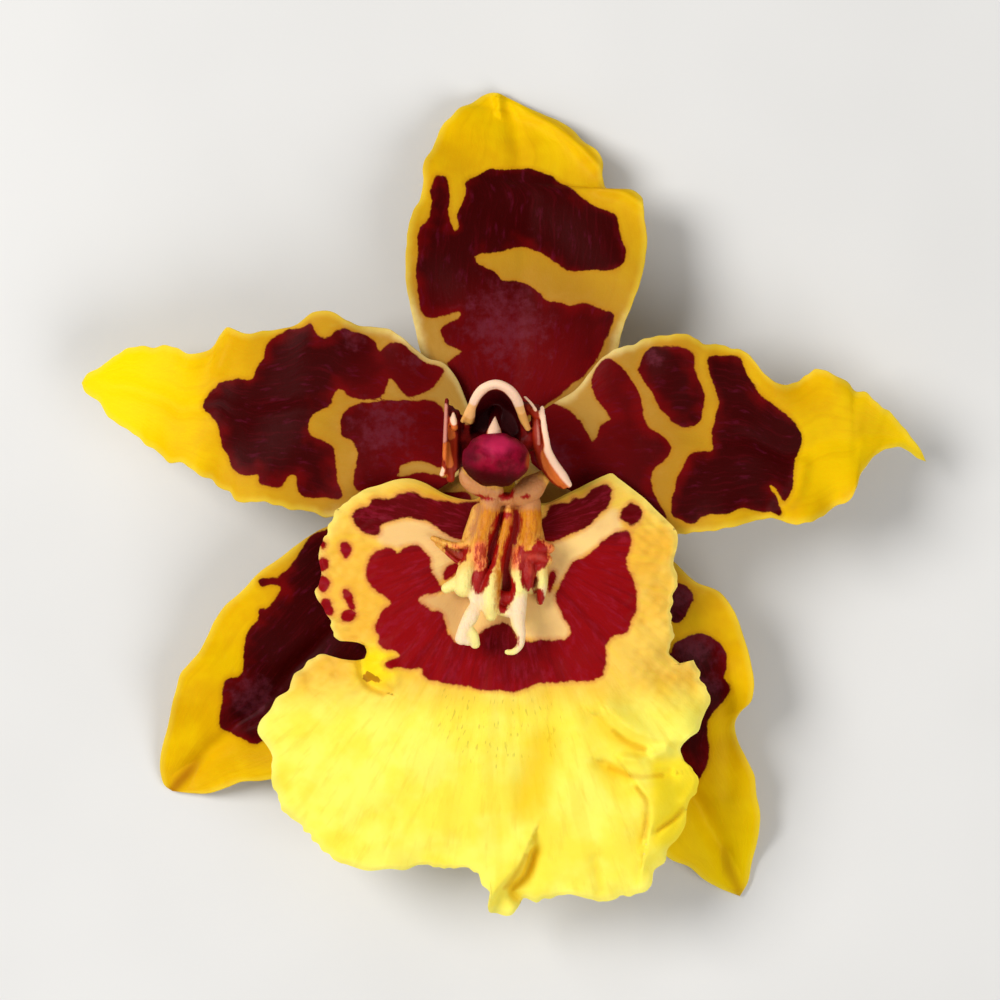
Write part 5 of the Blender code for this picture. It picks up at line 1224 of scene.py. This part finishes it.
def lip_tissue():
    """Lip tissue, grown: thinner, softer and lemon yellow, with veins that fan out from the crest and crimson
    blotches whose sap has bled a little into the skin round them."""
    made, tree, shader, place = new_finish(
        "lip_tissue_satin", Subsurface_Weight=0.12, Specular_IOR_Level=0.055, **TISSUE
    )
    marks = marks_of(
        tree, "blotch", "pale", "low", "edge", "hollow", "crease", "shade", "claw", "streaky", "line",
        "tangle", "pocket", "frill", "shade_left_of_crest", "back",
    )
    grain = add(tree, "ShaderNodeAttribute", attribute_name="grain").outputs["Vector"]
    fanned = stretched(tree, grain, 1.0, 1.0, 0.12)
    flecked = stretched(tree, grain, 1.0, 1.0, 0.22)
    puckered = stretched(tree, grain, 1.0, 1.0, 0.5)
    tones = tones_of(tree, (
        ("ragged", place, 1.4, 5.0), ("fibre", fanned, 0.4, 4.0), ("vein", fanned, 1.1, 2.0),
        ("cloud", place, 5.0, 3.0), ("cell", place, 0.2, 2.0), ("fleck", flecked, 0.22, 1.0),
        ("pucker", puckered, 0.8, 4.0),
    ))
    frayed = swung(tree, marks["blotch"], (tones["ragged"], 0.8), (tones["fibre"], 0.3))
    creamy = swung(tree, marks["pale"], (tones["ragged"], 1.0), (tones["fibre"], 0.4))
    cream = painted(tree, "#FFD68C", (
        # Left of the crest and low down, the cream is darkened to tan: painted shade.
        (tones["cloud"], 0.4, 0.62, 0.7, "#E6B47C"), (marks["shade_left_of_crest"], 0.0, 1.0, 0.75, "#CE9C68"),
    ))
    shaded = swung(tree, marks["shade"], (tones["cloud"], 1.6), (tones["ragged"], 0.6))
    flecks = add(
        tree, "ShaderNodeMath", {0: marks["streaky"], 1: tones["fleck"]}, operation="MULTIPLY"
    ).outputs[0]
    crimson = painted(tree, "#8E0409", (
        # The pink fibre streaks and puckers are partly the blotches' own colour and partly painted highlight.
        (shaded, 0.0, 1.1, 0.9, "#560003"), (tones["fibre"], 0.5, 0.72, 0.4, "#8C1028"),
        (tones["pucker"], 0.5, 0.7, 0.35, "#9C2038"), (tones["vein"], 0.54, 0.66, 0.3, "#640006"),
    ))
    upper = painted(tree, "#F0B43A", ((tones["cloud"], 0.35, 0.65, 0.8, "#F8CC58"),))
    lower = painted(tree, "#FFE648", ((tones["cloud"], 0.35, 0.65, 0.8, "#FFF268"),))
    colour = painted(tree, upper, (
        (marks["low"], 0.0, 1.0, 1.0, lower), (tones["fibre"], 0.5, 0.7, 0.22, "#E0B420"),
        (tones["vein"], 0.54, 0.66, 0.2, "#EFCB2C"), (flecks, 0.6, 0.72, 0.4, "#A89830"),
        # The deeper gold in the fold hollows and the tan in the creases are painted shade.
        (marks["hollow"], 0.12, 0.8, 0.7, "#F0C000"), (marks["crease"], 0.0, 0.3, 0.35, "#D69E30"),
        (marks["edge"], 0.93, 1.0, 0.4, "#FFF080"), (marks["claw"], 0.0, 1.0, 0.7, "#C8920E"),
        # The frills' deep yellow is partly their own colour and partly painted light on their shaded slopes.
        (marks["pocket"], 0.1, 0.9, 0.85, "#FFDE00"), (marks["frill"], 0.0, 1.0, 0.75, "#FFDC00"),
        (creamy, -0.6, 0.3, 0.8, cream),
        # The crease lines are painted shade.
        (swung(tree, marks["line"], (tones["ragged"], 0.8)), 0.2, 1.2, 0.5, "#C88A04"),
        (swung(tree, marks["tangle"], (tones["ragged"], 3.4)), 0.9, 1.1, 0.75, "#96480A"),
        (frayed, -0.5, 0.0, 0.5, "#D0703C"), (frayed, -0.1, 0.12, 1.0, crimson),
        (marks["back"], 0.0, 1.0, 0.5, "#EFE08A"),
    ))
    relief = ((tones["vein"], 0.04), (tones["fibre"], 0.02), (tones["pucker"], 0.05), (tones["cell"], 0.015))
    finish_with(tree, shader, colour, (tones["cloud"], 0.42, 0.58), relief)
    return made


def crest_flesh():
    """Crest tissue, grown: fleshy, moist and waxy, so it glows a little and carries small soft highlights."""
    made, tree, shader, place = new_finish(
        "crest_flesh_waxy", Subsurface_Weight=0.2, Specular_IOR_Level=0.22, **TISSUE
    )
    long = stretched(tree, place, 1.0, 0.25, 0.5)
    tones = tones_of(tree, (
        ("ragged", place, 0.7, 4.0), ("fine", place, 0.25, 3.0), ("streak", long, 0.25, 3.0),
    ))
    marks = marks_of(tree, "orange", "coral", "tan", "white", "maroon", "blush_and_highlight", "fore", "rib", "level")
    layers = [
        (swung(tree, marks[zone], (tones["ragged"], 0.5), (tones["streak"], uneven)), *layer)
        for zone, uneven, *layer in (
            ("orange", 0.6, -0.5, 0.5, 1.0, "#D88408"), ("coral", 0.6, -0.4, 0.4, 0.8, "#F26C40"),
            ("coral", 3.0, 0.3, 0.6, 0.8, "#B01808"), ("tan", 0.6, -0.35, 0.35, 1.0, "#CC8850"),
            ("white", 0.6, -0.5, 0.5, 1.0, "#FCDAAE"), ("maroon", 0.8, -0.26, 0.04, 1.0, "#A00C06"),
            # These pink patches are partly the crest's own flush and partly painted highlight.
            ("blush_and_highlight", 0.6, -0.35, 0.35, 0.5, "#D8503C"),
        )
    ]
    streaky = add(
        tree, "ShaderNodeMath", {0: tones["streak"], 1: marks["rib"]}, operation="MULTIPLY"
    ).outputs[0]
    colour = painted(tree, "#F4B24A", (
        (swung(tree, marks["fore"], (tones["ragged"], 0.5)), 0.0, 1.0, 1.0, "#FBE68A"), *layers[:3],
        # Where the crest sinks to the lip it turns browner: painted shade.
        (streaky, 0.4, 0.68, 0.4, "#A8480C"), *layers[3:], (marks["level"], 13.8, 12.6, 0.5, "#B4703C"),
    ))
    relief = ((tones["ragged"], 0.14), (tones["streak"], 0.07), (tones["fine"], 0.04))
    finish_with(tree, shader, colour, (tones["ragged"], 0.38, 0.52), relief)
    return made


def column_flesh():
    """Column tissue, grown: smooth and fleshy, cream on its rims, brick red where it thickens, and almost
    black maroon in the hollow that the light hardly reaches."""
    made, tree, shader, place = new_finish(
        "column_flesh_smooth", Subsurface_Weight=0.1, Specular_IOR_Level=0.16, **TISSUE
    )
    long = stretched(tree, place, 1.0, 0.3, 1.0)
    tones = tones_of(tree, (
        ("cloud", place, 1.6, 4.0), ("fine", place, 0.3, 3.0), ("mottle", long, 0.35, 3.0),
    ))
    marks = marks_of(tree, "throat", "brick", "ember", "rose", "cream", "honey")
    colour = painted(tree, "#440303", [(tones["cloud"], 0.3, 0.7, 1.0, "#820C06")] + [
        (swung(tree, marks[name], (tones["mottle"], uneven), (tones["fine"], 0.2)), *layer)
        for name, uneven, *layer in (
            ("throat", 0.2, 0.1, 0.9, 1.0, "#460004"), ("brick", 1.2, 0.2, 0.9, 0.9, "#9C2404"),
            ("ember", 1.4, 0.3, 0.9, 0.85, "#E4742C"), ("rose", 0.5, 0.1, 0.9, 0.85, "#D88C78"),
            ("cream", 0.3, 0.05, 0.55, 0.75, "#D86C34"), ("cream", 0.3, 0.3, 0.9, 1.0, "#FFD0AE"),
            ("honey", 0.3, 0.1, 0.9, 0.8, "#F6B25C"),
        )
    ])
    finish_with(tree, shader, colour, (tones["cloud"], 0.4, 0.55), ((tones["fine"], 0.03),))
    return made


def cap_skin():
    """Anther cap, grown: a thin dimpled helmet, crimson and satin, with painted shade towards its front and a
    painted highlight on top.
    """
    made, tree, shader, place = new_finish(
        "anther_cap_satin", Subsurface_Weight=0.05, Specular_IOR_Level=0.07, **TISSUE
    )
    tones = tones_of(tree, (("cloud", place, 1.5, 4.0), ("fine", place, 0.25, 3.0)))
    marks = marks_of(tree, "crown_highlight", "low", "flank", "lip_side")
    colour = painted(tree, "#5E0010", [(tones["cloud"], 0.35, 0.65, 1.0, "#8C0224")] + [
        (swung(tree, marks[name], (tones["cloud"], 0.6)), 0.1, 0.9, strength, tint)
        for name, strength, tint in (
            # The pink on top is a painted highlight, and the near-black on the front is painted shade.
            ("flank", 0.6, "#58001A"), ("crown_highlight", 0.85, "#C42450"), ("low", 0.95, "#3C0000"),
            ("lip_side", 0.9, "#B04A14"),
        )
    ])
    relief = ((tones["cloud"], 0.12), (tones["fine"], 0.02))
    finish_with(tree, shader, colour, (tones["cloud"], 0.42, 0.56), relief)
    return made


def pollen_wax():
    """Pollen mass, pressed by the plant into a hard waxy grain: golden, smooth and slightly translucent."""
    made, tree, shader, place = new_finish(
        "pollinium_wax", Subsurface_Weight=0.4, Coat_Weight=0.5, Coat_Roughness=0.15, **TISSUE
    )
    tones = tones_of(tree, (("grainy", place, 0.3, 3.0),))
    colour = painted(tree, "#E0A010", ((tones["grainy"], 0.3, 0.7, 1.0, "#F4C840"),))
    finish_with(tree, shader, colour, (tones["grainy"], 0.26, 0.34), ((tones["grainy"], 0.02),))
    return made


def strap_skin():
    """Stipe, a strap of clear tough tissue that carries the pollen: pale straw and a little shiny."""
    made, tree, shader, place = new_finish("stipe_clear", Subsurface_Weight=0.4, Coat_Weight=0.3, **TISSUE)
    tones = tones_of(tree, (("fibre", stretched(tree, place, 4.0, 4.0, 0.5), 0.7, 3.0),))
    colour = painted(tree, "#D8C490", ((tones["fibre"], 0.3, 0.7, 1.0, "#F2E8C8"),))
    finish_with(tree, shader, colour, (tones["fibre"], 0.3, 0.4), ((tones["fibre"], 0.02),))
    return made


def stalk_skin():
    """Ovary and flower stalk, grown: ribbed, waxy, green behind the bloom and flushed brown along the
    stalk."""
    made, tree, shader, place = new_finish(
        "stalk_skin_waxy", Subsurface_Weight=0.15, Coat_Weight=0.15, Coat_Roughness=0.3, **TISSUE
    )
    grain = add(tree, "ShaderNodeAttribute", attribute_name="grain").outputs["Vector"]
    tones = tones_of(tree, (
        ("fibre", stretched(tree, grain, 0.15, 1.0, 1.0), 0.35, 4.0), ("cloud", place, 2.5, 3.0),
    ))
    down = marks_of(tree, "down")["down"]
    colour = painted(tree, "#7C8430", (
        (tones["cloud"], 0.3, 0.7, 1.0, "#A09A48"), (down, 0.1, 0.7, 0.75, "#7A4A34"),
        (tones["cloud"], 0.5, 0.7, 0.5, "#6A3A30"), (tones["fibre"], 0.5, 0.75, 0.45, "#583026"),
        (down, 0.995, 1.0, 0.9, "#B8A878"),
    ))
    finish_with(tree, shader, colour, (tones["cloud"], 0.35, 0.5), ((tones["fibre"], 0.05),))
    return made


def floor_paint():
    """Painted board, rolled: pale, matt and faintly uneven."""
    made, tree, shader, place = new_finish("floor_paint_matt")
    tones = tones_of(tree, (("uneven", place, 60.0, 3.0), ("stipple", place, 1.2, 3.0)))
    colour = painted(tree, "#DCDAD6", ((tones["uneven"], 0.3, 0.7, 1.0, "#E2E0DC"),))
    finish_with(tree, shader, colour, (tones["uneven"], 0.66, 0.74), ((tones["stipple"], 0.01),))
    return made


def repaint(node, finish):
    """Gives a node of the frame that keeps its own shape its finished material."""
    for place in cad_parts[node].material_slots:
        place.material = finish


def add_studio():
    """A floor under the bloom, a broad light above it and a little behind, a fill from the front, and a pale
    sky."""
    half = 1.5
    corners = [(-half, -half, 0.0), (half, -half, 0.0), (half, half, 0.0), (-half, half, 0.0)]
    mesh = bpy.data.meshes.new("floor")
    mesh.from_pydata(corners, [], [(0, 1, 2, 3)])
    floor = bpy.data.objects.new("floor", mesh)
    bpy.context.scene.collection.objects.link(floor)
    floor.data.materials.append(floor_paint())
    for name, place, size, power in (
        ("key", (-0.38, 0.14, 0.45), 0.34, 3.0), ("fill", (0.34, -0.3, 0.45), 0.5, 1.9),
    ):
        light = bpy.data.lights.new(name, "AREA")
        light.shape = "DISK"
        light.size = size
        light.energy = power
        lamp = bpy.data.objects.new(name, light)
        lamp.location = place
        reach = math.hypot(place[0], place[1])
        lamp.rotation_euler = (0.0, math.atan2(reach, place[2]), math.atan2(place[1], place[0]))
        bpy.context.scene.collection.objects.link(lamp)
    sky = bpy.data.worlds.new("sky")
    sky.use_nodes = True
    sky.node_tree.nodes["Background"].inputs["Color"].default_value = linear("#F2F4F8")
    sky.node_tree.nodes["Background"].inputs["Strength"].default_value = 0.3
    bpy.context.scene.world = sky
    bpy.context.scene.view_settings.view_transform = "Standard"


VIEW_WIDTH = 92.5 * MM  # what the photograph's frame spans at the middle of the bloom
VIEW_MIDDLE = (-0.46 * MM, 0.23 * MM, 9.0 * MM)
VIEW_DISTANCE = 1.1


def add_camera():
    """The photograph's view: straight down, with a lens of sensor width times distance over the width it
    spans."""
    lens = bpy.data.cameras.new("front")
    lens.sensor_width = 36.0
    lens.lens = lens.sensor_width * VIEW_DISTANCE / VIEW_WIDTH
    camera = bpy.data.objects.new("front", lens)
    camera.location = (VIEW_MIDDLE[0], VIEW_MIDDLE[1], VIEW_MIDDLE[2] + VIEW_DISTANCE)
    bpy.context.scene.collection.objects.link(camera)
    bpy.context.scene.camera = camera


def main():
    """Builds the look of every piece, the studio and the view."""
    tissue = tepal_tissue()
    for node, shape in TEPALS.items():
        add_tepal(node, shape, tissue)
    add_lip(lip_tissue())
    add_crest(crest_flesh())
    add_column(column_flesh())
    add_anther_cap(cap_skin())
    add_stalk(stalk_skin())
    wax = pollen_wax()
    for node in ("pollinium_left", "pollinium_right"):
        repaint(node, wax)
    repaint("pollinarium_stipe", strap_skin())
    add_studio()
    add_camera()


main()
